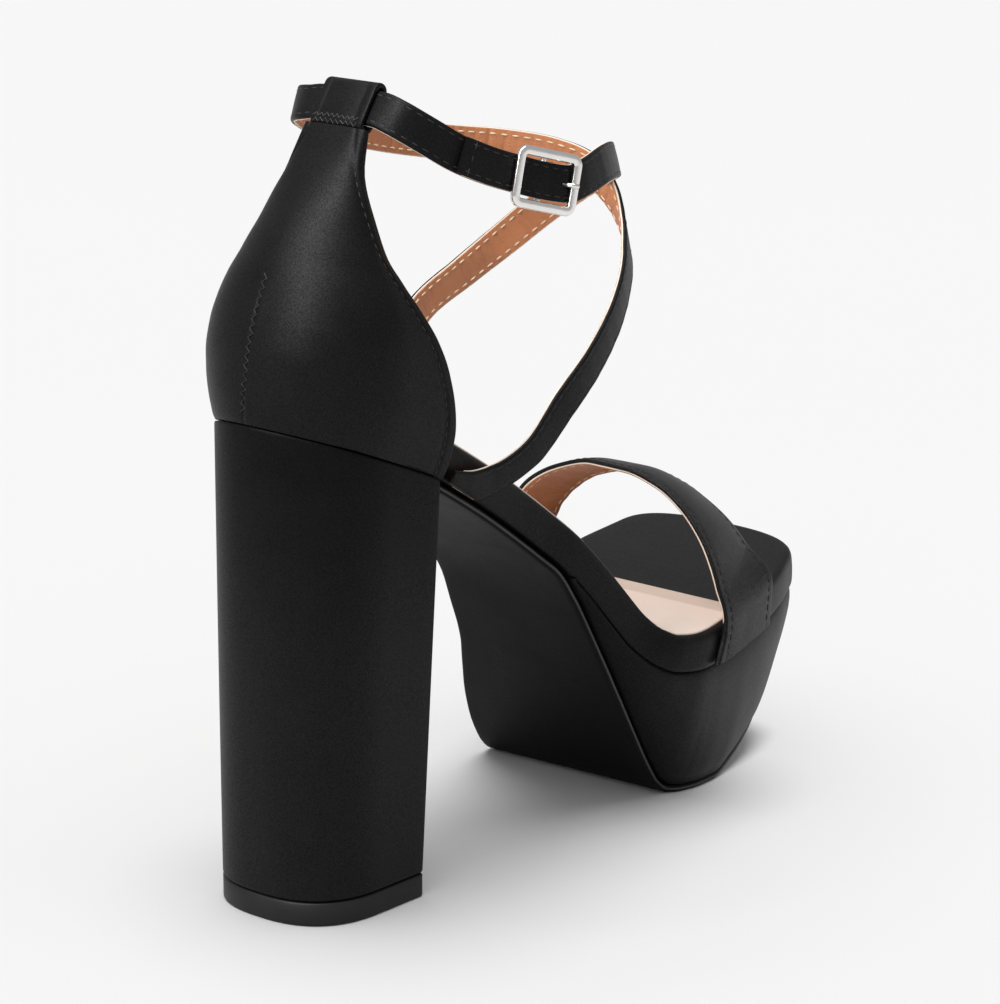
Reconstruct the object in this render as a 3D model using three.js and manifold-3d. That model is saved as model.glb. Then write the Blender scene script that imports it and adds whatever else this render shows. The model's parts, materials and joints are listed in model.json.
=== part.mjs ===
// Right platform sandal with a block heel, in millimetres.
// +X is the outer side of the foot, +Y the toe, +Z up; the origin is under the middle of the heel.

import * as THREE from 'three';
import { mergeVertices } from 'three/addons/utils/BufferGeometryUtils.js';
import Module from 'manifold-3d';

const wasm = await Module();
wasm.setup();

// Driving dimensions
const sole_length = 219;        // footbed, back of the heel to the toe
const ball_half = 40;           // half the width at the ball
const seat_height = 130;        // floor to the underside of the footbed, at the back
const platform_height = 40.5;   // floor to the underside of the footbed, at the ball
const toe_spring = 5.5;         // how far the toe rises above the ball
const footbed_thick = 10;
const outsole_thick = 2;
const sock_thick = 1;
const sock_margin = 2.4;        // bare footbed left around the sock
const sock_front = 162;         // front edge of the sock, from the back of the heel
const lift_thick = 6.3;
const heel_half = 22.5;         // half the width of the heel at the lift
const heel_depth = 39.2;        // back to breast at the lift
const heel_round = 22.3;        // length of the rounded back of the heel, at the lift
const heel_round_top = 28;      // the same at its top
const heel_flare = 1.7;         // how much wider each side of the heel is at its top
const heel_lean = 2.6;          // how far the back leans out at its top
const breast_slope = 5;         // how far the breast runs forward up to its top
const counter_wall = 2;
const counter_half = 29;        // greatest half width of the heel cup
const counter_reach = 44;       // length of the heel cup at its base
const strap_width = 9.4;
const strap_thick = 1.6;
const ring_half = 31;           // half the width of the ankle ring, without the buckle
const ring_length = 135;        // back of the heel to the front of the ankle ring
const ring_height = 203;        // floor to the strap in its loop
const loop_drop = 6;            // strap in its loop down to the top of the heel cup
const toe_strap_thick = 1.8;
const toe_strap_height = 88.5;  // floor to the top of the rear edge of the toe strap
const loop_width = 17;
const loop_wall = 1.3;
const buckle_length = 20.2;     // outer size along the strap
const buckle_height = 15.6;     // outer size across the strap
const buckle_face = 2.4;        // width of the face of the frame
const buckle_thick = 1.5;
const buckle_corner = 3;        // radius of the frame at its corners
const bar_radius = 0.75;        // centre bar
const gap = 0.3;                // between pieces that touch

// A table becomes smooth functions of one column: monotone cubic curves through its rows
function smooth(rows, key) {
  const at = rows.map(row => row[key]);
  const names = Object.keys(rows[0]).filter(name => name !== key);
  const slopes = {};
  for (const name of names) {
    const steps = rows.slice(1).map((row, i) => (row[name] - rows[i][name]) / (at[i + 1] - at[i]));
    slopes[name] = rows.map((row, i) => {
      if (i === 0) return steps[0];
      if (i === rows.length - 1) return steps[i - 1];
      const before = steps[i - 1];
      const after = steps[i];
      return before * after <= 0 ? 0 : 2 * before * after / (before + after);
    });
  }
  return value => {
    let i = at.findIndex(limit => limit > value) - 1;
    if (i === -2) i = at.length - 2;
    i = Math.max(i, 0);
    const width = at[i + 1] - at[i];
    const t = THREE.MathUtils.clamp((value - at[i]) / width, 0, 1);
    const out = {};
    for (const name of names) {
      const a = rows[i][name];
      const b = rows[i + 1][name];
      const h = (1 - t) * (1 - t) * (1 + 2 * t);
      const g = t * t * (3 - 2 * t);
      const rise = t * (1 - t) * (1 - t) * slopes[name][i];
      const fall = t * t * (1 - t) * slopes[name][i + 1];
      out[name] = a * h + b * g + width * (rise - fall);
    }
    return out;
  };
}

function range(first, last, steps) {
  return Array.from({ length: steps + 1 }, (_, i) => first + (last - first) * i / steps);
}

// Values from first to last that crowd towards both ends
function crowded(first, last, steps) {
  return range(0, Math.PI, steps).map(a => first + (last - first) * (1 - Math.cos(a)) / 2);
}

function superellipse(share, power) {
  return Math.pow(Math.max(1 - Math.pow(THREE.MathUtils.clamp(share, 0, 1), power), 0), 1 / power);
}

// Closed mesh through rings of equal length, capped at both ends
function loft(rings) {
  const points = rings.flat();
  const count = rings[0].length;
  const index = [];
  for (let j = 0; j < rings.length - 1; j += 1) {
    for (let k = 0; k < count; k += 1) {
      const a = j * count + k;
      const b = j * count + (k + 1) % count;
      index.push(a, b, b + count, a, b + count, a + count);
    }
  }
  const last = (rings.length - 1) * count;
  for (const [ring, start, turn] of [[rings[0], 0, true], [rings.at(-1), last, false]]) {
    for (const [a, b, c] of capOf(ring)) {
      if (turn) index.push(start + a, start + c, start + b);
      else index.push(start + a, start + b, start + c);
    }
  }
  return solidOf(points, index);
}

function capOf(ring) {
  const normal = new THREE.Vector3();
  ring.forEach((p, i) => {
    const q = ring[(i + 1) % ring.length];
    normal.x += (p.y - q.y) * (p.z + q.z);
    normal.y += (p.z - q.z) * (p.x + q.x);
    normal.z += (p.x - q.x) * (p.y + q.y);
  });
  normal.normalize();
  const side = new THREE.Vector3(1, 0, 0);
  if (Math.abs(normal.x) > 0.8) side.set(0, 1, 0);
  const u = side.clone().cross(normal).normalize();
  const v = normal.clone().cross(u);
  const flat = ring.map(p => new THREE.Vector2(p.dot(u), p.dot(v)));
  return THREE.ShapeUtils.triangulateShape(flat, []);
}

// Closed mesh between two grids of equal size
function sheet(outer, inner) {
  const rows = outer.length;
  const columns = outer[0].length;
  const rings = outer.map((row, j) => [...row, ...inner[j].slice().reverse()]);
  const points = rings.flat();
  const count = columns * 2;
  const index = [];
  for (let j = 0; j < rows - 1; j += 1) {
    for (let k = 0; k < count; k += 1) {
      const a = j * count + k;
      const b = j * count + (k + 1) % count;
      index.push(a, b, b + count, a, b + count, a + count);
    }
  }
  const last = (rows - 1) * count;
  for (let k = 0; k < columns - 1; k += 1) {
    const under = count - 1 - k;
    index.push(k, under, under - 1, k, under - 1, k + 1);
    index.push(last + k, last + under - 1, last + under, last + k, last + k + 1, last + under - 1);
  }
  return solidOf(points, index);
}

// Indexed triangles as a solid whose faces point out
function solidOf(points, index) {
  const vertProperties = new Float32Array(points.flatMap(p => [p.x, p.y, p.z]));
  let geometry = new THREE.BufferGeometry();
  geometry.setAttribute('position', new THREE.BufferAttribute(vertProperties, 3));
  geometry.setIndex(index);
  geometry = mergeVertices(geometry, 1e-3);
  return manifoldOf(geometry);
}

function manifoldOf(geometry) {
  const vertProperties = new Float32Array(geometry.getAttribute('position').array);
  const from = geometry.getIndex().array;
  let triVerts = [];
  for (let i = 0; i < from.length; i += 3) {
    const [a, b, c] = [from[i], from[i + 1], from[i + 2]];
    if (a !== b && b !== c && c !== a) triVerts.push(a, b, c);
  }
  if (volumeOf(vertProperties, triVerts) < 0) triVerts = triVerts.reverse();
  const mesh = new wasm.Mesh({ numProp: 3, vertProperties, triVerts: new Uint32Array(triVerts) });
  return new wasm.Manifold(mesh);
}

function volumeOf(xyz, tris) {
  let volume = 0;
  const corner = i => new THREE.Vector3(xyz[3 * i], xyz[3 * i + 1], xyz[3 * i + 2]);
  for (let i = 0; i < tris.length; i += 3) {
    volume += corner(tris[i]).dot(corner(tris[i + 1]).cross(corner(tris[i + 2])));
  }
  return volume;
}

// Solid of a library geometry, in its place
function solidOfGeometry(geometry, matrix) {
  const bare = geometry.clone();
  bare.deleteAttribute('normal');
  bare.deleteAttribute('uv');
  bare.applyMatrix4(matrix);
  return manifoldOf(mergeVertices(bare, 1e-4));
}

function geometryOf(solid) {
  const mesh = solid.getMesh();
  const geometry = new THREE.BufferGeometry();
  geometry.setAttribute('position', new THREE.BufferAttribute(new Float32Array(mesh.vertProperties), 3));
  geometry.setIndex(new THREE.BufferAttribute(new Uint32Array(mesh.triVerts), 1));
  const faceted = geometry.toNonIndexed();
  faceted.computeVertexNormals();
  return faceted;
}

// Underside of the footbed: rise is the share of the climb from ball to seat, spring that of the toe,
// outer and inner are the edges as shares of half the ball width
const foot_table = [
  { y: -0.021, rise: 1.0, spring: 0, outer: 0.546, inner: 0.546 },
  { y: 0.103, rise: 0.880, spring: 0, outer: 0.546, inner: 0.546 },
  { y: 0.201, rise: 0.778, spring: 0, outer: 0.551, inner: 0.545 },
  { y: 0.260, rise: 0.693, spring: 0, outer: 0.550, inner: 0.525 },
  { y: 0.320, rise: 0.597, spring: 0, outer: 0.552, inner: 0.510 },
  { y: 0.379, rise: 0.488, spring: 0, outer: 0.583, inner: 0.525 },
  { y: 0.420, rise: 0.400, spring: 0, outer: 0.640, inner: 0.575 },
  { y: 0.456, rise: 0.302, spring: 0, outer: 0.692, inner: 0.650 },
  { y: 0.488, rise: 0.204, spring: 0, outer: 0.740, inner: 0.725 },
  { y: 0.516, rise: 0.118, spring: 0, outer: 0.795, inner: 0.800 },
  { y: 0.544, rise: 0.055, spring: 0, outer: 0.875, inner: 0.875 },
  { y: 0.576, rise: 0.018, spring: 0, outer: 0.930, inner: 0.950 },
  { y: 0.619, rise: 0.003, spring: 0, outer: 0.950, inner: 1.020 },
  { y: 0.667, rise: 0, spring: 0, outer: 0.910, inner: 1.062 },
  { y: 0.731, rise: 0, spring: 0.12, outer: 0.832, inner: 1.087 },
  { y: 0.804, rise: 0, spring: 0.37, outer: 0.720, inner: 1.100 },
  { y: 0.877, rise: 0, spring: 0.58, outer: 0.575, inner: 1.125 },
  { y: 0.949, rise: 0, spring: 0.82, outer: 0.388, inner: 1.125 },
  { y: 1.020, rise: 0, spring: 1.05, outer: 0.220, inner: 1.110 },
].map(row => ({
  y: row.y * sole_length,
  z: platform_height + row.rise * (seat_height - platform_height) + row.spring * toe_spring,
  outer: row.outer * ball_half,
  inner: -row.inner * ball_half,
}));
const foot = smooth(foot_table, 'y');
const toe_round = 0.071 * sole_length;      // length of the rounding of the toe
const toe_power = 2.8;
const seat_power = 2.1;
const seat_round = 0.117 * sole_length;     // length of the rounding of the heel

// Where an edge of the foot line lies, and which way its layer grows
function footAt(y) {
  const here = foot(y);
  const step = 0.5;
  const rise = foot(y + step).z - foot(y - step).z;
  const length = Math.hypot(rise, 2 * step);
  return { ...here, y, up: new THREE.Vector3(0, -rise / length, 2 * step / length) };
}

// Edges of the footbed with its rounded heel and toe
function footEdges(y, inset = 0) {
  const here = foot(y);
  const end = sole_length - inset;
  let share = 1;
  if (y > end - toe_round) share = superellipse((y - end + toe_round) / toe_round, toe_power);
  if (y < seat_round + inset) share = superellipse((seat_round + inset - y) / seat_round, seat_power);
  const middle = (here.outer + here.inner) / 2;
  const half = Math.max((here.outer - here.inner) / 2 - inset, 1) * share;
  return { outer: middle + half, inner: middle - half, middle, half };
}

function point(x, here, height) {
  return new THREE.Vector3(x, here.y + here.up.y * height, here.z + here.up.z * height);
}

// A layer on the foot line, with soft edges
function footLayer({ first, last, steps, inset, low, high, round }) {
  const top = [];
  const bottom = [];
  const profile = [[0, 0.5], [0.3, 0.15], [1, 0]];
  for (const y of crowded(first, last, steps)) {
    const here = footAt(y);
    const edge = footEdges(y, inset);
    const width = Math.min(round, edge.half * 0.6);
    const across = [];
    for (const [along, drop] of profile) across.push([edge.inner + width * along, drop * 0.8]);
    for (const share of [0.35, 0.65]) across.push([edge.inner + (edge.outer - edge.inner) * share, 0]);
    for (const [along, drop] of profile.toReversed()) across.push([edge.outer - width * along, drop * 0.8]);
    const thick = high - low;
    top.push(across.map(([x, drop]) => point(x, here, high - drop * Math.min(thick, 2 * round))));
    bottom.push(across.map(([x, drop]) => point(x, here, low + drop * Math.min(thick, 2 * round))));
  }
  return sheet(top, bottom);
}

// Ground line: underside of the outsole. under is the place on the foot line that it lies below,
// y its own place, height its share of the height of the foot line, outer and inner its edges
const ground_table = [
  { under: 0.456, y: 0.444, height: 0.978, outer: 0.597, inner: 0.590 },
  { under: 0.488, y: 0.472, height: 0.951, outer: 0.602, inner: 0.640 },
  { under: 0.516, y: 0.501, height: 0.883, outer: 0.600, inner: 0.690 },
  { under: 0.544, y: 0.532, height: 0.741, outer: 0.590, inner: 0.800 },
  { under: 0.576, y: 0.569, height: 0.494, outer: 0.565, inner: 0.930 },
  { under: 0.601, y: 0.601, height: 0.245, outer: 0.545, inner: 1.000 },
  { under: 0.621, y: 0.624, height: 0.083, outer: 0.540, inner: 1.020 },
  { under: 0.640, y: 0.642, height: 0.013, outer: 0.560, inner: 1.030 },
  { under: 0.660, y: 0.660, height: 0.000, outer: 0.600, inner: 1.030 },
  { under: 0.695, y: 0.689, height: 0.000, outer: 0.630, inner: 1.040 },
  { under: 0.731, y: 0.722, height: 0.000, outer: 0.620, inner: 1.045 },
  { under: 0.785, y: 0.772, height: 0.049, outer: 0.560, inner: 1.045 },
  { under: 0.840, y: 0.821, height: 0.121, outer: 0.485, inner: 1.045 },
  { under: 0.895, y: 0.868, height: 0.195, outer: 0.385, inner: 1.035 },
  { under: 0.949, y: 0.908, height: 0.271, outer: 0.260, inner: 1.010 },
  { under: 1.032, y: 0.955, height: 0.376, outer: 0.160, inner: 0.975 },
].map(row => ({
  under: row.under * sole_length,
  y: row.y * sole_length,
  z: row.height * foot(row.under * sole_length).z,
  outer: row.outer * ball_half,
  inner: -row.inner * ball_half,
}));
const breast_front = heel_depth + breast_slope;
const outsole_start = breast_front + 6 * gap;
const ground_rows = [...ground_table];
const arch_end = 0.42 * sole_length;        // up to here the outsole lies against the footbed
const arch_inset = 1;
for (const y of range(arch_end, outsole_start, 8)) {
  const here = footAt(y);
  const below = point(0, here, -outsole_thick - 2 * gap);
  const outer = here.outer - arch_inset;
  const inner = here.inner + arch_inset;
  ground_rows.unshift({ under: y, y: below.y, z: below.z, outer, inner });
}
const ground = smooth(ground_rows, 'under');
const skew = 0.045;             // the rear contact line runs forward towards the outer side

function groundAt(under) {
  const here = ground(under);
  const step = 0.4;
  const before = ground(under - step);
  const after = ground(under + step);
  const along = new THREE.Vector3(0, after.y - before.y, after.z - before.z).normalize();
  return { ...here, up: new THREE.Vector3(0, -along.z, along.y) };
}

function groundEdges(under, inset) {
  const here = ground(under);
  let share = 1;
  const end = sole_length;
  if (under > end - toe_round) share = superellipse((under - end + toe_round) / toe_round, toe_power);
  const middle = (here.outer + here.inner) / 2;
  const half = ((here.outer - here.inner) / 2 - inset) * share;
  return { outer: middle + half, inner: middle - half };
}

function groundPoint(x, here, height) {
  const slant = skew * x * THREE.MathUtils.smoothstep(here.y, 0.44 * sole_length, 0.62 * sole_length);
  return new THREE.Vector3(x, here.y + slant + here.up.y * height, here.z + here.up.z * height);
}

const toe_stop = 0.985 * sole_length;       // the last section of each sole layer
const toe_turn = 0.94 * sole_length;        // sections lie closer from here to the toe
const platform_start = 0.456 * sole_length;

function buildOutsole() {
  const edge_inset = 0.8;
  const top = [];
  const bottom = [];
  const arch = range(outsole_start, platform_start, 8);
  const stations = [...arch, ...range(platform_start, toe_stop, 30).slice(1)];
  for (const under of stations) {
    const here = groundAt(under);
    const edge = groundEdges(under, edge_inset);
    const across = range(edge.inner, edge.outer, 4);
    top.push(across.map(x => groundPoint(x, here, outsole_thick)));
    bottom.push(across.map(x => groundPoint(x, here, 0)));
  }
  return sheet(top, bottom);
}

// Side of the platform: share of its height, and of the way out from the outsole to the footbed
const wall_table = [
  { height: 0.03, way: 0.05 },
  { height: 0.12, way: 0.27 },
  { height: 0.35, way: 0.55 },
  { height: 0.65, way: 0.82 },
  { height: 0.90, way: 0.97 },
];

function buildPlatform() {
  const rings = [];
  const brim_inset = 1;
  const low = outsole_thick + 1.5 * gap;
  const roll = 1.2;             // how far the walls roll in under the roof
  const stations = [...range(platform_start, toe_turn, 26), ...range(toe_turn, toe_stop, 5).slice(1)];
  for (const under of stations) {
    const here = groundAt(under);
    const over = footAt(under);
    const base = groundEdges(under, 0);
    const brim = footEdges(under, brim_inset);
    const wall = (x0, x1) => {
      const a = groundPoint(x0, here, low);
      const b = point(x1, over, -gap);
      return wall_table.map(({ height, way }) => new THREE.Vector3(
        a.x + (b.x - a.x) * way,
        a.y + (b.y - a.y) * way,
        a.z + (b.z - a.z) * height,
      ));
    };
    const floor = range(base.inner + roll, base.outer - roll, 4).map(x => groundPoint(x, here, low));
    const roof = range(brim.outer - roll, brim.inner + roll, 4).map(x => point(x, over, -gap));
    const outer_wall = wall(base.outer, brim.outer);
    const inner_wall = wall(base.inner, brim.inner);
    rings.push([...floor, ...outer_wall, ...roof, ...inner_wall.reverse()]);
  }
  return loft(rings);
}

function buildFootbed() {
  const tip = 0.992 * sole_length;
  return footLayer({ first: gap, last: tip, steps: 44, inset: 0, low: 0, high: footbed_thick, round: 3 });
}

function buildSock() {
  const low = footbed_thick + 1.5 * gap;
  return footLayer({
    first: sock_margin + 1, last: sock_front, steps: 26, inset: sock_margin, low, high: low + sock_thick, round: 0.8,
  });
}

const heel_power = 2.5;         // roundness of the outline of the heel, at the lift
const heel_power_top = 2.1;     // the same at its top

// Outline of the heel, clockwise from the outer corner of the breast
function heelRing(half, back, breast, round, power, heightOf) {
  const corner = 1.6;
  const ring = [];
  const side = [];
  side.push([half * 0.5, breast], [half - corner, breast], [half - corner * 0.3, breast - corner * 0.3]);
  side.push([half, breast - corner], [half, (breast - corner + back + round) / 2]);
  for (const angle of range(90, 0, 10)) {
    const a = THREE.MathUtils.degToRad(angle);
    const x = half * Math.pow(Math.sin(a), 2 / power);
    side.push([x, back + round * (1 - Math.pow(Math.cos(a), 2 / power))]);
  }
  for (const [x, y] of side) ring.push(new THREE.Vector3(x, y, heightOf(y)));
  for (const [x, y] of side.slice(0, -1).reverse()) ring.push(new THREE.Vector3(-x, y, heightOf(y)));
  return ring;
}

function buildHeel() {
  const low = lift_thick + gap;
  const rings = range(0, 1, 6).map(share => {
    const heightOf = y => low + (foot(y).z - gap - low) * share;
    const half = heel_half + heel_flare * share;
    const round = heel_round + (heel_round_top - heel_round) * share;
    const power = heel_power + (heel_power_top - heel_power) * share;
    return heelRing(half, -heel_lean * share, heel_depth + breast_slope * share, round, power, heightOf);
  });
  return loft(rings);
}

function buildLift() {
  const soft = 0.4;
  const rings = [[soft, 0], [0, soft], [0, lift_thick]].map(([inset, height]) => heelRing(
    heel_half - inset, inset, heel_depth - inset, heel_round, heel_power, () => height,
  ));
  return loft(rings);
}

const counter_height = ring_height - seat_height - loop_drop;

// Heel cup: a row for each level, with the middle of its back, its front edge, its half width there,
// how long its rounded back is as a share of its depth, and how round that is
const cup_table = [
  { level: 0, back: -0.060, low: 0, front: 0.985, rise: 0, half: 0.838, round: 0.61, power: 2.1 },
  { level: 0.08, back: -0.055, low: 0.085, front: 0.996, rise: 0.100, half: 0.920, round: 0.62, power: 2.15 },
  { level: 0.18, back: -0.032, low: 0.190, front: 0.988, rise: 0.215, half: 0.985, round: 0.63, power: 2.22 },
  { level: 0.28, back: -0.006, low: 0.282, front: 0.964, rise: 0.325, half: 1.000, round: 0.65, power: 2.3 },
  { level: 0.38, back: 0.032, low: 0.365, front: 0.920, rise: 0.435, half: 0.998, round: 0.67, power: 2.25 },
  { level: 0.48, back: 0.082, low: 0.448, front: 0.852, rise: 0.555, half: 0.965, round: 0.70, power: 2.15 },
  { level: 0.58, back: 0.145, low: 0.537, front: 0.762, rise: 0.670, half: 0.895, round: 0.74, power: 2 },
  { level: 0.68, back: 0.225, low: 0.630, front: 0.685, rise: 0.775, half: 0.795, round: 0.80, power: 1.85 },
  { level: 0.78, back: 0.322, low: 0.722, front: 0.635, rise: 0.880, half: 0.672, round: 0.85, power: 1.85 },
  { level: 0.87, back: 0.440, low: 0.815, front: 0.625, rise: 1.020, half: 0.545, round: 0.88, power: 1.95 },
  { level: 0.94, back: 0.575, low: 0.925, front: 0.655, rise: 1.160, half: 0.405, round: 0.90, power: 2.4 },
  { level: 1, back: 0.700, low: 1.038, front: 0.732, rise: 1.308, half: 0.345, round: 0.90, power: 2.8 },
];
const cup = smooth(cup_table, 'level');
const cup_side = 4;             // columns along each straight side
const cup_back = 14;            // columns round the back

function cupPoint(level, column) {
  const row = cup(level);
  const back_y = row.back * counter_reach;
  const front_y = row.front * counter_reach;
  const back_z = foot(-heel_lean).z + row.low * counter_height;
  const front_z = foot(breast_front).z + row.rise * counter_height;
  const half = row.half * counter_half;
  const depth = front_y - back_y;
  const round = row.round * depth;
  let x = half;
  let y = front_y - (depth - round) * column.straight;
  if (column.straight === 1) {
    x = half * Math.pow(Math.sin(column.angle), 2 / row.power);
    y = back_y + round * (1 - Math.pow(Math.cos(column.angle), 2 / row.power));
  }
  const z = back_z + (front_z - back_z) * (y - back_y) / depth;
  return new THREE.Vector3(x * column.side, y, z);
}

function cupColumns() {
  const half = [];
  for (const straight of range(0, 1, cup_side).slice(0, -1)) half.push({ straight, angle: Math.PI / 2 });
  for (const angle of range(Math.PI / 2, 0, cup_back / 2)) half.push({ straight: 1, angle });
  const outer = half.map(column => ({ ...column, side: 1 }));
  const inner = half.slice(0, -1).reverse().map(column => ({ ...column, side: -1 }));
  return [...outer, ...inner];
}

// Offset of a grid along its own normals
function offsetGrid(grid, distance) {
  return grid.map((row, j) => row.map((p, k) => {
    const up = grid[Math.min(j + 1, grid.length - 1)][k].clone().sub(grid[Math.max(j - 1, 0)][k]);
    const across = row[Math.min(k + 1, row.length - 1)].clone().sub(row[Math.max(k - 1, 0)]);
    const normal = up.cross(across).normalize();
    return p.clone().addScaledVector(normal, distance);
  }));
}

// Middle of the loop, and the way it leans
const loop_lean = THREE.MathUtils.degToRad(34);
const loop_middle = new THREE.Vector3(0, 0.827 * counter_reach, 0.999 * ring_height);
const loop_up = new THREE.Vector3(0, Math.sin(loop_lean), Math.cos(loop_lean));
const loop_out = new THREE.Vector3(0, -Math.cos(loop_lean), Math.sin(loop_lean));

function stadium(half_length, half_thick) {
  const shape = new THREE.Shape();
  const straight = half_length - half_thick;
  shape.moveTo(-half_thick, -straight);
  shape.absarc(0, -straight, half_thick, Math.PI, 2 * Math.PI, false);
  shape.lineTo(half_thick, straight);
  shape.absarc(0, straight, half_thick, 0, Math.PI, false);
  return shape;
}

function loopBlock(half_length, half_thick, width) {
  const shape = stadium(half_length, half_thick);
  const extruded = new THREE.ExtrudeGeometry(shape, { depth: width, bevelEnabled: false, curveSegments: 5 });
  extruded.translate(0, 0, -width / 2);
  // The section lies in the plane of out and up, and runs along x
  const across = new THREE.Vector3().crossVectors(loop_out, loop_up);
  const place = new THREE.Matrix4().makeBasis(loop_out, loop_up, across).setPosition(loop_middle);
  return solidOfGeometry(extruded, place);
}

function buildCounter() {
  const columns = cupColumns();
  const levels = [0, 0.04, ...range(0.1, 1, 15)];
  const outer = levels.map(level => columns.map(column => cupPoint(level, column)));
  const inner = offsetGrid(outer, -counter_wall);
  const seat = p => foot(p.y).z + gap;
  for (const grid of [outer, inner]) {
    for (const p of grid[0]) p.z = seat(p);
  }
  const clear_length = strap_width / 2 + 3 * gap;
  const clear_thick = strap_thick / 2 + gap;
  const loop = loopBlock(clear_length + loop_wall, clear_thick + loop_wall, loop_width);
  const hole = loopBlock(clear_length, clear_thick, 2 * loop_width);
  return sheet(outer, inner).add(loop).subtract(hole);
}

// Wide band over the toes: for the rear and the front edge, each row gives a place on the arch,
// from the outer groove over the top to the inner groove
const toe_strap_table = [
  { way: 0.00, rx: 0.945, ry: 0.646, rz: 0.462, fx: 0.765, fy: 0.797, fz: 0.490 },
  { way: 0.07, rx: 0.948, ry: 0.666, rz: 0.570, fx: 0.745, fy: 0.804, fz: 0.570 },
  { way: 0.14, rx: 0.908, ry: 0.664, rz: 0.680, fx: 0.645, fy: 0.812, fz: 0.660 },
  { way: 0.21, rx: 0.815, ry: 0.668, rz: 0.770, fx: 0.505, fy: 0.813, fz: 0.732 },
  { way: 0.28, rx: 0.678, ry: 0.676, rz: 0.842, fx: 0.362, fy: 0.810, fz: 0.797 },
  { way: 0.36, rx: 0.492, ry: 0.682, rz: 0.912, fx: 0.200, fy: 0.805, fz: 0.850 },
  { way: 0.45, rx: 0.238, ry: 0.688, rz: 0.966, fx: 0.010, fy: 0.801, fz: 0.893 },
  { way: 0.54, rx: -0.050, ry: 0.690, rz: 0.993, fx: -0.210, fy: 0.797, fz: 0.916 },
  { way: 0.63, rx: -0.350, ry: 0.690, rz: 0.995, fx: -0.450, fy: 0.793, fz: 0.916 },
  { way: 0.71, rx: -0.655, ry: 0.687, rz: 0.958, fx: -0.690, fy: 0.787, fz: 0.890 },
  { way: 0.79, rx: -0.900, ry: 0.679, rz: 0.888, fx: -0.905, fy: 0.785, fz: 0.830 },
  { way: 0.86, rx: -1.060, ry: 0.679, rz: 0.780, fx: -1.065, fy: 0.782, fz: 0.745 },
  { way: 0.93, rx: -1.130, ry: 0.679, rz: 0.650, fx: -1.155, fy: 0.787, fz: 0.635 },
  { way: 1.00, rx: -1.105, ry: 0.677, rz: 0.480, fx: -1.160, fy: 0.793, fz: 0.500 },
].map(row => ({
  way: row.way,
  rx: row.rx * ball_half,
  ry: row.ry * sole_length,
  rz: row.rz * toe_strap_height,
  fx: row.fx * ball_half,
  fy: row.fy * sole_length,
  fz: row.fz * toe_strap_height,
}));
const toe_band = smooth(toe_strap_table, 'way');

function buildToeStrap() {
  const crown = 1.2;            // how far the band is domed between its edges
  const steps = 30;
  const across = range(0, 1, 4);
  const plain = range(0, 1, steps).map(way => {
    const row = toe_band(way);
    const rear = new THREE.Vector3(row.rx, row.ry, row.rz);
    const front = new THREE.Vector3(row.fx, row.fy, row.fz);
    return across.map(share => rear.clone().lerp(front, share));
  });
  const full = offsetGrid(plain, -crown);
  const outer = plain.map((row, j) => row.map((p, k) => {
    const share = 4 * across[k] * (1 - across[k]) * Math.sin(Math.PI * j / steps);
    return p.clone().lerp(full[j][k], share);
  }));
  const inner = offsetGrid(outer, toe_strap_thick);
  // Both ends stand clear of the side of the footbed, and ease in above it
  const clear = 0.8;
  const ease = 10;
  inner.forEach((row, j) => row.forEach((p, k) => {
    const here = foot(p.y);
    const top = here.z + footbed_thick + clear;
    const short = p.x > 0 ? Math.max(here.outer + gap - p.x, 0) : Math.min(here.inner - gap - p.x, 0);
    const shift = short * (1 - THREE.MathUtils.smoothstep(p.z, top, top + ease));
    for (const q of [p, outer[j][k]]) {
      q.x += shift;
      q.z = Math.max(q.z, here.z + clear);
    }
  }));
  return sheet(outer, inner);
}

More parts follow.
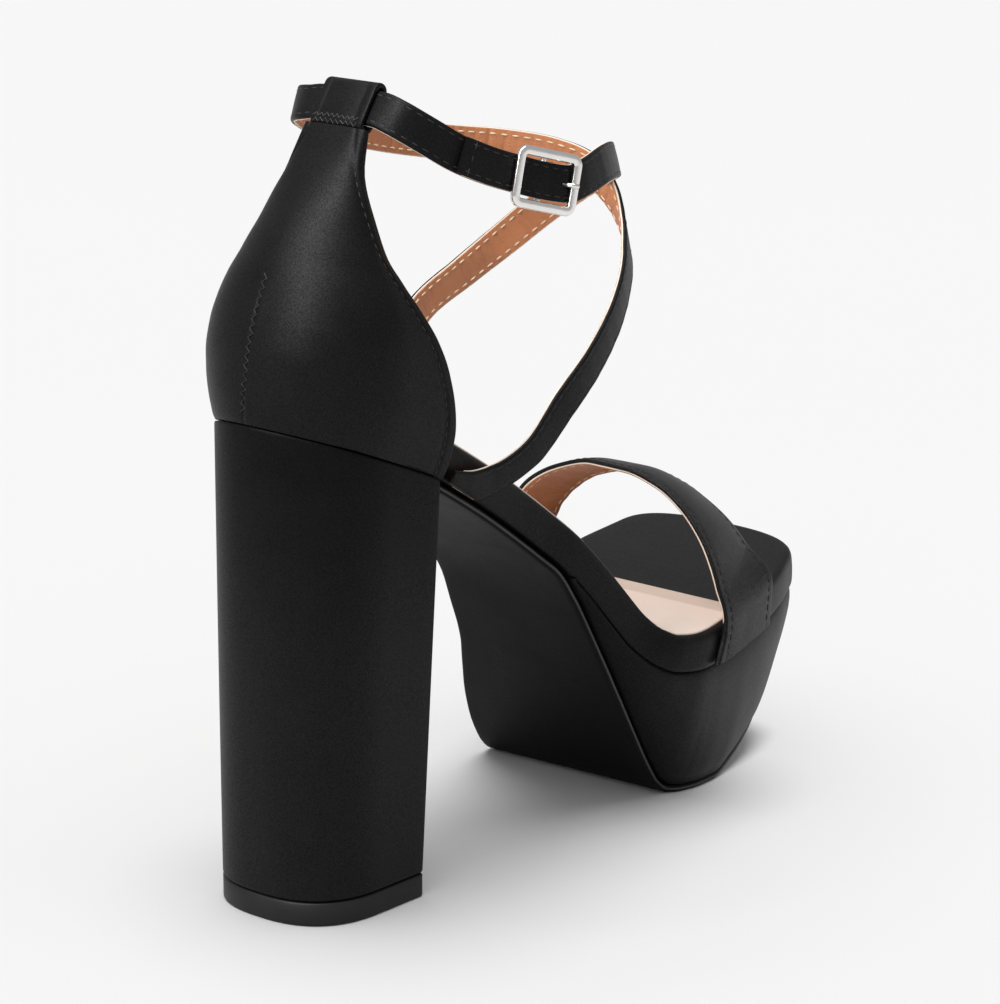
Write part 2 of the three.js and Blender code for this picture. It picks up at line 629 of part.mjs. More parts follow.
// Middle lines of the two ankle straps: x is a share of half the ring, y of its length and z of its height,
// and nx, ny, nz say which way the outer face looks
const first_table = [
  { x: 0.777, y: 0.345, z: 0.5286, nx: 0.97, ny: 0, nz: -0.15 },
  { x: 0.774, y: 0.400, z: 0.5217, nx: 0.95, ny: 0.05, nz: -0.3 },
  { x: 0.794, y: 0.459, z: 0.5236, nx: 0.94, ny: 0.12, nz: -0.25 },
  { x: 0.852, y: 0.507, z: 0.5350, nx: 0.93, ny: 0.08, nz: -0.2 },
  { x: 0.935, y: 0.551, z: 0.5571, nx: 0.95, ny: 0.03, nz: -0.12 },
  { x: 1.023, y: 0.611, z: 0.6079, nx: 0.98, ny: 0.02, nz: -0.02 },
  { x: 1.010, y: 0.697, z: 0.6498, nx: 0.98, ny: 0.16, nz: 0 },
  { x: 0.906, y: 0.792, z: 0.6921, nx: 0.94, ny: 0.3, nz: 0.03 },
  { x: 0.745, y: 0.872, z: 0.7276, nx: 0.93, ny: 0.36, nz: 0.03 },
  { x: 0.555, y: 0.936, z: 0.7581, nx: 0.93, ny: 0.34, nz: 0.03 },
  { x: 0.358, y: 0.979, z: 0.7897, nx: 0.78, ny: 0.62, nz: 0.04 },
  { x: 0.165, y: 0.994, z: 0.8276, nx: 0.42, ny: 0.9, nz: 0.1 },
  { x: -0.061, y: 0.990, z: 0.8571, nx: 0, ny: 1, nz: 0.1 },
  { x: -0.329, y: 0.950, z: 0.8749, nx: -0.5, ny: 0.85, nz: 0.1 },
  { x: -0.639, y: 0.885, z: 0.8857, nx: -0.8, ny: 0.5, nz: 0.05 },
  { x: -0.890, y: 0.767, z: 0.8975, nx: -1, ny: 0.25, nz: 0 },
  { x: -1.000, y: 0.593, z: 0.9222, nx: -1, ny: 0, nz: 0 },
  { x: -0.942, y: 0.422, z: 0.9557, nx: -1, ny: -0.2, nz: 0.05 },
  { x: -0.729, y: 0.311, z: 0.9852, nx: -0.85, ny: -0.6, nz: 0.2 },
  { x: -0.465, y: 0.270, z: 0.9956, nx: -0.25, ny: -0.83, nz: 0.52 },
  { x: -0.323, y: 0.2696, z: 0.999, nx: 0, ny: -0.829, nz: 0.559 },
  { x: 0.000, y: 0.2696, z: 0.999, nx: 0, ny: -0.829, nz: 0.559 },
  { x: 0.323, y: 0.2696, z: 0.999, nx: 0, ny: -0.829, nz: 0.559 },
  { x: 0.497, y: 0.273, z: 0.9916, nx: 0.3, ny: -0.83, nz: 0.45 },
  { x: 0.684, y: 0.305, z: 0.9714, nx: 0.85, ny: -0.5, nz: 0.15 },
  { x: 0.816, y: 0.359, z: 0.9463, nx: 0.94, ny: -0.33, nz: 0.1 },
  { x: 0.906, y: 0.418, z: 0.9281, nx: 0.96, ny: -0.29, nz: 0.1 },
  { x: 0.968, y: 0.470, z: 0.9158, nx: 0.96, ny: -0.28, nz: 0.1 },
  { x: 1.039, y: 0.531, z: 0.9034, nx: 0.96, ny: -0.26, nz: 0.1 },
  { x: 1.061, y: 0.552, z: 0.9000, nx: 0.97, ny: -0.22, nz: 0.1 },
];
const second_table = [
  { x: -0.745, y: 0.400, z: 0.5399, nx: -1, ny: 0, nz: 0 },
  { x: -0.755, y: 0.470, z: 0.5320, nx: -1, ny: 0, nz: 0 },
  { x: -0.881, y: 0.560, z: 0.5729, nx: -1, ny: 0.1, nz: 0.3 },
  { x: -1.019, y: 0.665, z: 0.6310, nx: -1, ny: 0.3, nz: 0.25 },
  { x: -1.065, y: 0.753, z: 0.6759, nx: -0.92, ny: 0.45, nz: 0.25 },
  { x: -1.000, y: 0.864, z: 0.7138, nx: -0.8, ny: 0.62, nz: 0.25 },
  { x: -0.839, y: 0.956, z: 0.7557, nx: -0.65, ny: 0.78, nz: 0.2 },
  { x: -0.581, y: 0.998, z: 0.7961, nx: -0.4, ny: 0.9, nz: 0.2 },
  { x: -0.300, y: 1.010, z: 0.8271, nx: -0.2, ny: 1, nz: 0.1 },
  { x: -0.039, y: 1.006, z: 0.8507, nx: 0.1, ny: 1, nz: 0.1 },
  { x: 0.200, y: 0.972, z: 0.8680, nx: 0.5, ny: 0.86, nz: 0.15 },
  { x: 0.432, y: 0.926, z: 0.8818, nx: 0.68, ny: 0.72, nz: 0.2 },
  { x: 0.645, y: 0.865, z: 0.8926, nx: 0.76, ny: 0.64, nz: 0.26 },
  { x: 0.845, y: 0.797, z: 0.9005, nx: 0.84, ny: 0.54, nz: 0.3 },
  { x: 1.023, y: 0.721, z: 0.9044, nx: 0.93, ny: 0.34, nz: 0.28 },
  { x: 1.129, y: 0.644, z: 0.8995, nx: 1, ny: 0.1, nz: 0.18 },
  { x: 1.152, y: 0.588, z: 0.8951, nx: 0.98, ny: -0.2, nz: 0.1 },
  { x: 1.090, y: 0.529, z: 0.9030, nx: 0.96, ny: -0.27, nz: 0.1 },
  { x: 1.016, y: 0.467, z: 0.9163, nx: 0.96, ny: -0.28, nz: 0.1 },
  { x: 0.955, y: 0.415, z: 0.9286, nx: 0.96, ny: -0.29, nz: 0.1 },
  { x: 0.865, y: 0.355, z: 0.9463, nx: 0.94, ny: -0.33, nz: 0.12 },
];

function strapFrames(table, steps) {
  const middle = new THREE.CatmullRomCurve3(
    table.map(row => new THREE.Vector3(row.x * ring_half, row.y * ring_length, row.z * ring_height)),
    false, 'centripetal',
  );
  const facing = new THREE.CatmullRomCurve3(table.map(row => new THREE.Vector3(row.nx, row.ny, row.nz)));
  return range(0, 1, steps).map(t => {
    const share = middle.getUtoTmapping(t);
    const along = middle.getTangent(share);
    const out = facing.getPoint(share);
    out.addScaledVector(along, -out.dot(along)).normalize();
    return { at: middle.getPoint(share), along, out, wide: new THREE.Vector3().crossVectors(along, out) };
  });
}

function strapRing(frame, width, thick) {
  const soft = 0.45;
  const half = width / 2;
  const deep = thick / 2;
  const corners = [
    [half - soft, deep], [half, deep - soft], [half, soft - deep], [half - soft, -deep],
    [soft - half, -deep], [-half, soft - deep], [-half, deep - soft], [soft - half, deep],
  ];
  return corners.map(([w, n]) => (
    frame.at.clone().addScaledVector(frame.wide, w).addScaledVector(frame.out, n)
  ));
}

function strapBody(table, steps) {
  return loft(strapFrames(table, steps).map(frame => strapRing(frame, strap_width, strap_thick)));
}

// The buckle sits on the second strap. In its own frame x runs along the strap, y across it and z out of it.
// The frame lies on the strap, and its centre bar between the two straps.
const buckle_share = 0.890;     // place of the centre bar along the second strap

function buckleMatrix() {
  const steps = 1000;
  const { at, along, wide, out } = strapFrames(second_table, steps)[Math.round(buckle_share * steps)];
  return new THREE.Matrix4().makeBasis(along, wide, out).setPosition(at);
}

const frame_height = strap_thick / 2 + gap + buckle_thick / 2;
const bar_height = -strap_thick / 2;
const frame_half = (buckle_length - buckle_face) / 2;
const frame_side = (buckle_height - buckle_face) / 2;

function rod(from, to, radius, sides = 10) {
  const line = new THREE.LineCurve3(from, to);
  const section = new THREE.Shape();
  section.absarc(0, 0, radius, 0, 2 * Math.PI, false);
  const body = new THREE.ExtrudeGeometry(section, { extrudePath: line, steps: 1, curveSegments: sides / 2 });
  return solidOfGeometry(body, new THREE.Matrix4());
}

// Rounded rectangle as a closed path, with the inset of its side from the middle of the frame
function framePath(inset) {
  const corner = buckle_corner - inset;
  const centre_x = frame_half + buckle_face / 2 - buckle_corner;
  const centre_y = frame_side + buckle_face / 2 - buckle_corner;
  const turns = [[1, 1, 0], [-1, 1, 90], [-1, -1, 180], [1, -1, 270]];
  return turns.flatMap(([sx, sy, start]) => range(0, 90, 5).map(turn => {
    const a = THREE.MathUtils.degToRad(start + turn);
    return [sx * centre_x + corner * Math.cos(a), sy * centre_y + corner * Math.sin(a)];
  }));
}

function buckleFrameBody() {
  const soft = 0.4;
  const half = buckle_thick / 2;
  // Inset from the outer edge, and height, round the section of the frame
  const section = [
    [0, soft - half], [0, half - soft], [soft, half], [buckle_face - soft, half],
    [buckle_face, half - soft], [buckle_face, soft - half], [buckle_face - soft, -half], [soft, -half],
  ];
  const paths = section.map(([inset]) => framePath(inset));
  const rings = paths[0].map((_, j) => section.map(([, height], k) => (
    new THREE.Vector3(paths[k][j][0], paths[k][j][1], frame_height + height)
  )));
  const count = section.length;
  const index = [];
  rings.forEach((_, j) => {
    const here = j * count;
    const next = ((j + 1) % rings.length) * count;
    for (let k = 0; k < count; k += 1) {
      const m = (k + 1) % count;
      index.push(here + k, here + m, next + m, here + k, next + m, next + k);
    }
  });
  const bar_end = y => new THREE.Vector3(0, y, bar_height);
  let body = solidOf(rings.flat(), index).add(rod(bar_end(-frame_side), bar_end(frame_side), bar_radius));
  for (const y of [-frame_side, frame_side]) {
    const foot_point = new THREE.Vector3(0, y, bar_height - bar_radius);
    body = body.add(rod(foot_point, new THREE.Vector3(0, y, frame_height), bar_radius));
  }
  return body;
}

// The prong hooks over the centre bar, comes up through the strap and rests on the front bar
const prong_radius = 0.6;
const eye_inner = bar_radius + gap;
const eye_outer = eye_inner + 2 * prong_radius;
const prong_top = frame_height + buckle_thick / 2 + gap + prong_radius;

// Shaft of the prong: share of the way to the front bar, and of the height it has on it
const prong_table = [
  { way: 0.06, rise: 0.24 },
  { way: 0.31, rise: 0.10 },
  { way: 0.57, rise: 0.10 },
  { way: 0.76, rise: 0.37 },
  { way: 0.86, rise: 0.77 },
  { way: 1.03, rise: 0.985 },
  { way: 1.25, rise: 1 },
];

function prongBody(grow, hole) {
  const eye = new THREE.Shape();
  eye.absarc(0, 0, eye_outer + grow, 0, 2 * Math.PI, false);
  if (hole) {
    const bore = new THREE.Path();
    bore.absarc(0, 0, eye_inner, 0, 2 * Math.PI, true);
    eye.holes.push(bore);
  }
  const wide = 2 * (prong_radius + grow);
  const disc = new THREE.ExtrudeGeometry(eye, { depth: wide, bevelEnabled: false, curveSegments: 8 });
  disc.translate(0, 0, -wide / 2);
  disc.rotateX(Math.PI / 2);
  disc.translate(0, 0, bar_height);
  const ring = solidOfGeometry(disc, new THREE.Matrix4());
  const bar_front = -frame_half + buckle_face / 2;
  const route = new THREE.CatmullRomCurve3(prong_table.map(({ way, rise }) => (
    new THREE.Vector3(way * bar_front, 0, rise * prong_top)
  )));
  const section = new THREE.Shape();
  section.absarc(0, 0, prong_radius + grow, 0, 2 * Math.PI, false);
  const shaft = new THREE.ExtrudeGeometry(section, { extrudePath: route, steps: 20, curveSegments: 4 });
  return ring.add(solidOfGeometry(shaft, new THREE.Matrix4()));
}

// Everything that lies lower than the foot line, for the ends of the ankle straps
function underFoot() {
  const wide = 2 * ball_half;
  const deep = 30;
  const low = -gap;
  const top = range(0.15 * sole_length, arch_end, 20).map(footAt);
  const strip = height => top.map(here => [-wide, wide].map(x => point(x, here, height)));
  return sheet(strip(low), strip(low - deep));
}

function buildStraps() {
  const place = buckleMatrix().elements;
  const bore_end = y => new THREE.Vector3(0, y, bar_height);
  const reach = frame_side + buckle_face;
  const bore = rod(bore_end(-reach), bore_end(reach), bar_radius + gap, 12);
  return strapBody(first_table, 84).add(strapBody(second_table, 64))
    .subtract(bore.transform(place))
    .subtract(prongBody(gap, false).transform(place))
    .subtract(underFoot());
}

// Materials as on the real shoe
const satin = { color: 0x1b1b1c, roughness: 0.5, metalness: 0 };
const leather = { color: 0xd8c4b8, roughness: 0.6, metalness: 0 };
const rubber = { color: 0x2a2a2a, roughness: 0.7, metalness: 0 };
const metal = { color: 0xd9d9d6, roughness: 0.15, metalness: 1 };

function addPiece(group, name, solid, finish) {
  const mesh = new THREE.Mesh(geometryOf(solid), new THREE.MeshStandardMaterial(finish));
  mesh.name = name;
  group.add(mesh);
}

const shoe = new THREE.Group();
shoe.position.y = -heel_depth / 2;
const buckle_place = buckleMatrix();
addPiece(shoe, 'outsole', buildOutsole(), rubber);
addPiece(shoe, 'platform', buildPlatform(), satin);
addPiece(shoe, 'footbed', buildFootbed(), satin);
addPiece(shoe, 'insole_sock', buildSock(), leather);
addPiece(shoe, 'heel', buildHeel(), satin);
addPiece(shoe, 'top_lift', buildLift(), rubber);
addPiece(shoe, 'heel_counter', buildCounter(), satin);
addPiece(shoe, 'toe_strap', buildToeStrap(), satin);
addPiece(shoe, 'ankle_straps', buildStraps(), satin);
addPiece(shoe, 'buckle_frame', buckleFrameBody().transform(buckle_place.elements), metal);
addPiece(shoe, 'buckle_prong', prongBody(0, true).transform(buckle_place.elements), metal);

export default shoe;
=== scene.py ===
"""Right platform sandal with a block heel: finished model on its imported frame, in metres."""

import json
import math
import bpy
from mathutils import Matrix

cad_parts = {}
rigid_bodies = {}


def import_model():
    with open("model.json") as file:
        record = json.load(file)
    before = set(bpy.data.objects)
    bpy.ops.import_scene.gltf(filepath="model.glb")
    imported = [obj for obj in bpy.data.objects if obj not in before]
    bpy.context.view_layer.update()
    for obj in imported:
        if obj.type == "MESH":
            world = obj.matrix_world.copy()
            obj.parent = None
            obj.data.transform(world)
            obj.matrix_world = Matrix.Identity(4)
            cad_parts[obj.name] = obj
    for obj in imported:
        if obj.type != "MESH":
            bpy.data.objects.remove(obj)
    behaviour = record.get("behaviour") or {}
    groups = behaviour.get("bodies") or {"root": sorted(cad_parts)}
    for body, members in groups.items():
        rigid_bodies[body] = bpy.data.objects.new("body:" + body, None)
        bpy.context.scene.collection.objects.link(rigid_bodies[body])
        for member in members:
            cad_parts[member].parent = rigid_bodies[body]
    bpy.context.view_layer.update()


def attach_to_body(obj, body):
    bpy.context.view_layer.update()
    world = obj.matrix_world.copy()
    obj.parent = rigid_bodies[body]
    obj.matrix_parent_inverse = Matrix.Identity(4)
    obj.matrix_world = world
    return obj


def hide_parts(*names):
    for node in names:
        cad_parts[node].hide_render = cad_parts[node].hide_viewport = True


bl_info = {
    "name": "Platform sandal",
    "version": (1, 0, 0),
    "blender": (4, 5, 0),
    "location": "View3D > Sidebar > Sandal",
    "description": "Builds a right platform sandal piece by piece",
    "category": "Object",
}

from functools import cache

import bmesh
import bpy
import numpy as np
from mathutils import Matrix, Vector

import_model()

MM = 0.001


# Sizes and colours that a user would change

def length(name, text, value):
    return bpy.props.FloatProperty(
        name=name, description=text, default=value * MM, min=0.0, unit='LENGTH', precision=4,
    )


def colour(name, text, value):
    return bpy.props.FloatVectorProperty(
        name=name, description=text, default=value, size=3, min=0.0, max=1.0, subtype='COLOR',
    )


class SandalSizes(bpy.types.PropertyGroup):
    sole_length: length("Sole length", "Footbed, back of the heel to the toe", 219)
    ball_half: length("Ball half width", "Half the width at the ball of the foot", 40)
    seat_height: length("Seat height", "Floor to the underside of the footbed at the back", 130)
    platform_height: length("Platform height", "Floor to the underside of the footbed at the ball", 40.5)
    toe_spring: length("Toe spring", "How far the toe rises above the ball", 5.5)
    footbed_thick: length("Footbed", "Thickness of the footbed", 10)
    outsole_thick: length("Outsole", "Thickness of the outsole", 2)
    sock_thick: length("Sock", "Thickness of the insole sock", 1)
    sock_margin: length("Sock margin", "Bare footbed left round the sock", 2.4)
    sock_front: length("Sock front", "Front edge of the sock, from the back of the heel", 162)
    lift_thick: length("Heel lift", "Thickness of the rubber under the heel", 6.3)
    heel_half: length("Heel half width", "Half the width of the heel at the lift", 22.5)
    heel_depth: length("Heel depth", "Back to breast at the lift", 39.2)
    heel_round: length("Heel rounding", "Length of the rounded back of the heel at the lift", 22.3)
    heel_round_top: length("Heel top rounding", "Length of the rounded back of the heel at its top", 28)
    heel_flare: length("Heel flare", "How much wider each side of the heel is at its top", 1.7)
    heel_lean: length("Heel lean", "How far the back of the heel leans out at its top", 2.6)
    breast_slope: length("Breast slope", "How far the breast runs forward up to its top", 5)
    counter_half: length("Heel cup half width", "Greatest half width of the heel cup", 29)
    counter_reach: length("Heel cup reach", "Length of the heel cup at its base", 44)
    loop_drop: length("Loop drop", "Strap in its loop down to the top of the heel cup", 6)
    strap_width: length("Strap width", "Width of the ankle straps", 9.4)
    strap_thick: length("Strap thickness", "Thickness of the ankle straps", 1.6)
    ring_half: length("Ring half width", "Half the width of the ankle ring", 31)
    ring_length: length("Ring length", "Back of the heel to the front of the ankle ring", 135)
    ring_height: length("Ring height", "Floor to the strap in its loop", 203)
    toe_strap_thick: length("Toe strap thickness", "Thickness of the toe strap", 1.8)
    toe_strap_height: length("Toe strap height", "Floor to the top of the rear edge of the toe strap", 88.5)
    loop_width: length("Loop width", "Width of the loop at the back", 17)
    loop_wall: length("Loop wall", "Thickness of the loop", 1.3)
    buckle_length: length("Buckle length", "Outer size of the buckle along the strap", 20.2)
    buckle_height: length("Buckle height", "Outer size of the buckle across the strap", 15.6)
    buckle_face: length("Buckle face", "Width of the face of the frame", 2.4)
    buckle_thick: length("Buckle thickness", "Thickness of the frame", 1.5)
    buckle_corner: length("Buckle corner", "Radius of the frame at its corners", 3)
    bar_radius: length("Bar radius", "Radius of the centre bar", 0.75)
    stitch_pitch: length("Stitch pitch", "From one stitch to the next", 3.1)
    stitch_length: length("Stitch length", "Length of one stitch", 2.1)
    thread: length("Thread", "Thickness of the thread", 0.42)


class SandalFinish(bpy.types.PropertyGroup):
    satin: colour("Satin", "Colour of the satin", (0.0036, 0.0036, 0.0038))
    lining: colour("Lining", "Colour of the tan lining", (0.47, 0.19, 0.085))
    edge: colour("Raw edge", "Colour of the edge of the lining", (0.74, 0.62, 0.52))
    sock: colour("Sock", "Colour of the insole sock", (0.63, 0.525, 0.455))
    rubber: colour("Rubber", "Colour of the outsole and the lift", (0.0034, 0.0034, 0.0036))
    metal: colour("Metal", "Colour of the buckle", (0.83, 0.82, 0.80))
    thread_dark: colour("Dark thread", "Colour of the thread on the satin", (0.0085, 0.0085, 0.009))
    thread_light: colour("Light thread", "Colour of the thread on the lining", (0.72, 0.56, 0.40))
    floor: colour("Floor", "Colour of the floor", (0.90, 0.90, 0.90))


# Curves through the rows of a table

def smooth_table(rows, key):
    """Monotone cubic curves through the rows: returns a function of the key column."""
    at = np.array([row[key] for row in rows], float)
    columns = {}
    for name in [name for name in rows[0] if name != key]:
        value = np.array([row[name] for row in rows], float)
        step = np.diff(value) / np.diff(at)
        slope = np.zeros(len(at))
        slope[0] = step[0]
        slope[-1] = step[-1]
        before = step[:-1]
        after = step[1:]
        product = before * after
        total = np.where(product > 0, before + after, 1.0)
        slope[1:-1] = np.where(product > 0, 2 * product / total, 0.0)
        columns[name] = (value, slope)

    def read(where):
        where = np.asarray(where, float)
        i = np.clip(np.searchsorted(at, where, side='right') - 1, 0, len(at) - 2)
        width = at[i + 1] - at[i]
        t = np.clip((where - at[i]) / width, 0, 1)
        out = {}
        for name, (value, slope) in columns.items():
            near = (1 - t) ** 2 * (1 + 2 * t)
            far = t ** 2 * (3 - 2 * t)
            bend = width * (t * (1 - t) ** 2 * slope[i] - t ** 2 * (1 - t) * slope[i + 1])
            out[name] = value[i] * near + value[i + 1] * far + bend
        return out

    return read


def table(names, rows):
    return [dict(zip(names, row)) for row in rows]


def smoothstep(value, low, high):
    t = np.clip((np.asarray(value, float) - low) / (high - low), 0, 1)
    return t * t * (3 - 2 * t)


def bell(distance, width):
    return np.exp(-(distance / width) ** 2)


# Underside of the footbed: rise is the share of the climb from ball to seat, spring that of the toe
FOOT = table(("y", "rise", "spring", "outer", "inner"), (
    (-0.021, 1.0, 0, 0.546, 0.546),
    (0.103, 0.880, 0, 0.546, 0.546),
    (0.201, 0.778, 0, 0.551, 0.545),
    (0.260, 0.693, 0, 0.550, 0.525),
    (0.320, 0.597, 0, 0.552, 0.510),
    (0.379, 0.488, 0, 0.583, 0.525),
    (0.420, 0.400, 0, 0.640, 0.575),
    (0.456, 0.302, 0, 0.692, 0.650),
    (0.488, 0.204, 0, 0.740, 0.725),
    (0.516, 0.118, 0, 0.795, 0.800),
    (0.544, 0.055, 0, 0.875, 0.875),
    (0.576, 0.018, 0, 0.930, 0.950),
    (0.619, 0.003, 0, 0.950, 1.020),
    (0.667, 0, 0, 0.910, 1.062),
    (0.731, 0, 0.12, 0.832, 1.087),
    (0.804, 0, 0.37, 0.720, 1.100),
    (0.877, 0, 0.58, 0.575, 1.125),
    (0.949, 0, 0.82, 0.388, 1.125),
    (1.020, 0, 1.05, 0.220, 1.110),
))

# Ground line: underside of the outsole, under a place on the foot line
GROUND = table(("under", "y", "height", "outer", "inner"), (
    (0.456, 0.444, 0.978, 0.597, 0.590),
    (0.488, 0.472, 0.951, 0.602, 0.640),
    (0.516, 0.501, 0.883, 0.600, 0.690),
    (0.544, 0.532, 0.741, 0.590, 0.800),
    (0.576, 0.569, 0.494, 0.565, 0.930),
    (0.601, 0.601, 0.245, 0.545, 1.000),
    (0.621, 0.624, 0.083, 0.540, 1.020),
    (0.640, 0.642, 0.013, 0.560, 1.030),
    (0.660, 0.660, 0.000, 0.600, 1.030),
    (0.695, 0.689, 0.000, 0.630, 1.040),
    (0.731, 0.722, 0.000, 0.620, 1.045),
    (0.785, 0.772, 0.049, 0.560, 1.045),
    (0.840, 0.821, 0.121, 0.485, 1.045),
    (0.895, 0.868, 0.195, 0.385, 1.035),
    (0.949, 0.908, 0.271, 0.260, 1.010),
    (1.032, 0.955, 0.376, 0.160, 0.975),
))

# Side of the platform: share of its height, and of the way out from the outsole to the footbed
WALL = table(("height", "way"), (
    (0, 0),
    (0.03, 0.05),
    (0.12, 0.27),
    (0.35, 0.55),
    (0.65, 0.82),
    (0.90, 0.97),
    (1, 1),
))

# Heel cup: the middle of its back, its front edge, its half width, the length and the form of its rounding
CUP = table(("level", "back", "low", "front", "rise", "half", "round", "power"), (
    (0, -0.060, 0, 0.985, 0, 0.838, 0.61, 2.1),
    (0.08, -0.055, 0.085, 0.996, 0.100, 0.920, 0.62, 2.15),
    (0.18, -0.032, 0.190, 0.988, 0.215, 0.985, 0.63, 2.22),
    (0.28, -0.006, 0.282, 0.964, 0.325, 1.000, 0.65, 2.3),
    (0.38, 0.032, 0.365, 0.920, 0.435, 0.998, 0.67, 2.25),
    (0.48, 0.082, 0.448, 0.852, 0.555, 0.965, 0.70, 2.15),
    (0.58, 0.145, 0.537, 0.762, 0.670, 0.895, 0.74, 2.0),
    (0.68, 0.225, 0.630, 0.685, 0.775, 0.795, 0.80, 1.85),
    (0.78, 0.322, 0.722, 0.635, 0.880, 0.672, 0.85, 1.85),
    (0.87, 0.440, 0.815, 0.625, 1.020, 0.545, 0.88, 1.95),
    (0.94, 0.575, 0.925, 0.655, 1.160, 0.405, 0.90, 2.4),
    (1, 0.700, 1.038, 0.732, 1.308, 0.345, 0.90, 2.8),
))

# Toe strap: its rear and front edge, from the outer groove over the top to the inner groove
TOE = table(("way", "rx", "ry", "rz", "fx", "fy", "fz"), (
    (0.00, 0.945, 0.646, 0.462, 0.765, 0.797, 0.490),
    (0.07, 0.948, 0.666, 0.570, 0.745, 0.804, 0.570),
    (0.14, 0.908, 0.664, 0.680, 0.645, 0.812, 0.660),
    (0.21, 0.815, 0.668, 0.770, 0.505, 0.813, 0.732),
    (0.28, 0.678, 0.676, 0.842, 0.362, 0.810, 0.797),
    (0.36, 0.492, 0.682, 0.912, 0.200, 0.805, 0.850),
    (0.45, 0.238, 0.688, 0.966, 0.010, 0.801, 0.893),
    (0.54, -0.050, 0.690, 0.993, -0.210, 0.797, 0.916),
    (0.63, -0.350, 0.690, 0.995, -0.450, 0.793, 0.916),
    (0.71, -0.655, 0.687, 0.958, -0.690, 0.787, 0.890),
    (0.79, -0.900, 0.679, 0.888, -0.905, 0.785, 0.830),
    (0.86, -1.060, 0.679, 0.780, -1.065, 0.782, 0.745),
    (0.93, -1.130, 0.679, 0.650, -1.155, 0.787, 0.635),
    (1.00, -1.105, 0.677, 0.480, -1.160, 0.793, 0.500),
))

# Middle lines of the two ankle straps, and the way their outer faces look
STRAP_NAMES = ("x", "y", "z", "nx", "ny", "nz")
FIRST = table(STRAP_NAMES, (
    (0.777, 0.345, 0.5286, 0.97, 0, -0.15),
    (0.774, 0.400, 0.5217, 0.95, 0.05, -0.3),
    (0.794, 0.459, 0.5236, 0.94, 0.12, -0.25),
    (0.852, 0.507, 0.5350, 0.93, 0.08, -0.2),
    (0.935, 0.551, 0.5571, 0.95, 0.03, -0.12),
    (1.023, 0.611, 0.6079, 0.98, 0.02, -0.02),
    (1.010, 0.697, 0.6498, 0.98, 0.16, 0),
    (0.906, 0.792, 0.6921, 0.94, 0.3, 0.03),
    (0.745, 0.872, 0.7276, 0.93, 0.36, 0.03),
    (0.555, 0.936, 0.7581, 0.93, 0.34, 0.03),
    (0.358, 0.979, 0.7897, 0.78, 0.62, 0.04),
    (0.165, 0.994, 0.8276, 0.42, 0.9, 0.1),
    (-0.061, 0.990, 0.8571, 0, 1, 0.1),
    (-0.329, 0.950, 0.8749, -0.5, 0.85, 0.1),
    (-0.639, 0.885, 0.8857, -0.8, 0.5, 0.05),
    (-0.890, 0.767, 0.8975, -1, 0.25, 0),
    (-1.000, 0.593, 0.9222, -1, 0, 0),
    (-0.942, 0.422, 0.9557, -1, -0.2, 0.05),
    (-0.729, 0.311, 0.9852, -0.85, -0.6, 0.2),
    (-0.465, 0.270, 0.9956, -0.25, -0.83, 0.52),
    (-0.323, 0.2696, 0.999, 0, -0.829, 0.559),
    (0.000, 0.2696, 0.999, 0, -0.829, 0.559),
    (0.323, 0.2696, 0.999, 0, -0.829, 0.559),
    (0.497, 0.273, 0.9916, 0.3, -0.83, 0.45),
    (0.684, 0.305, 0.9714, 0.85, -0.5, 0.15),
    (0.816, 0.359, 0.9463, 0.94, -0.33, 0.1),
    (0.906, 0.418, 0.9281, 0.96, -0.29, 0.1),
    (0.968, 0.470, 0.9158, 0.96, -0.28, 0.1),
    (1.039, 0.531, 0.9034, 0.96, -0.26, 0.1),
    (1.061, 0.552, 0.9000, 0.97, -0.22, 0.1),
))
SECOND = table(STRAP_NAMES, (
    (-0.745, 0.400, 0.5399, -1, 0, 0),
    (-0.755, 0.470, 0.5320, -1, 0, 0),
    (-0.881, 0.560, 0.5729, -1, 0.1, 0.3),
    (-1.019, 0.665, 0.6310, -1, 0.3, 0.25),
    (-1.065, 0.753, 0.6759, -0.92, 0.45, 0.25),
    (-1.000, 0.864, 0.7138, -0.8, 0.62, 0.25),
    (-0.839, 0.956, 0.7557, -0.65, 0.78, 0.2),
    (-0.581, 0.998, 0.7961, -0.4, 0.9, 0.2),
    (-0.300, 1.010, 0.8271, -0.2, 1, 0.1),
    (-0.039, 1.006, 0.8507, 0.1, 1, 0.1),
    (0.200, 0.972, 0.8680, 0.5, 0.86, 0.15),
    (0.432, 0.926, 0.8818, 0.68, 0.72, 0.2),
    (0.645, 0.865, 0.8926, 0.76, 0.64, 0.26),
    (0.845, 0.797, 0.9005, 0.84, 0.54, 0.3),
    (1.023, 0.721, 0.9044, 0.93, 0.34, 0.28),
    (1.129, 0.644, 0.8995, 1, 0.1, 0.18),
    (1.152, 0.588, 0.8951, 0.98, -0.2, 0.1),
    (1.090, 0.529, 0.9030, 0.96, -0.27, 0.1),
    (1.016, 0.467, 0.9163, 0.96, -0.28, 0.1),
    (0.955, 0.415, 0.9286, 0.96, -0.29, 0.1),
    (0.865, 0.355, 0.9463, 0.94, -0.33, 0.12),
))

GAP = 0.3 * MM                  # between pieces that touch
TOE_POWER = 2.8                 # roundness of the outline of the footbed, at the toe
SEAT_POWER = 2.1                # the same at the heel
HEEL_POWER = 2.5                # roundness of the outline of the heel, at the lift
HEEL_POWER_TOP = 2.1            # the same at its top
SKEW = 0.045                    # the rear contact line runs forward towards the outer side
BUCKLE_SHARE = 0.890            # place of the centre bar along the second strap
LOOP_LEAN = math.radians(34)

# Shaft of the prong: share of the way to the front bar, and of the height it has on it
PRONG = ((0.31, 0.02), (0.57, 0.02), (0.78, 0.05), (0.88, 0.62), (1.0, 0.97), (1.15, 1.0))


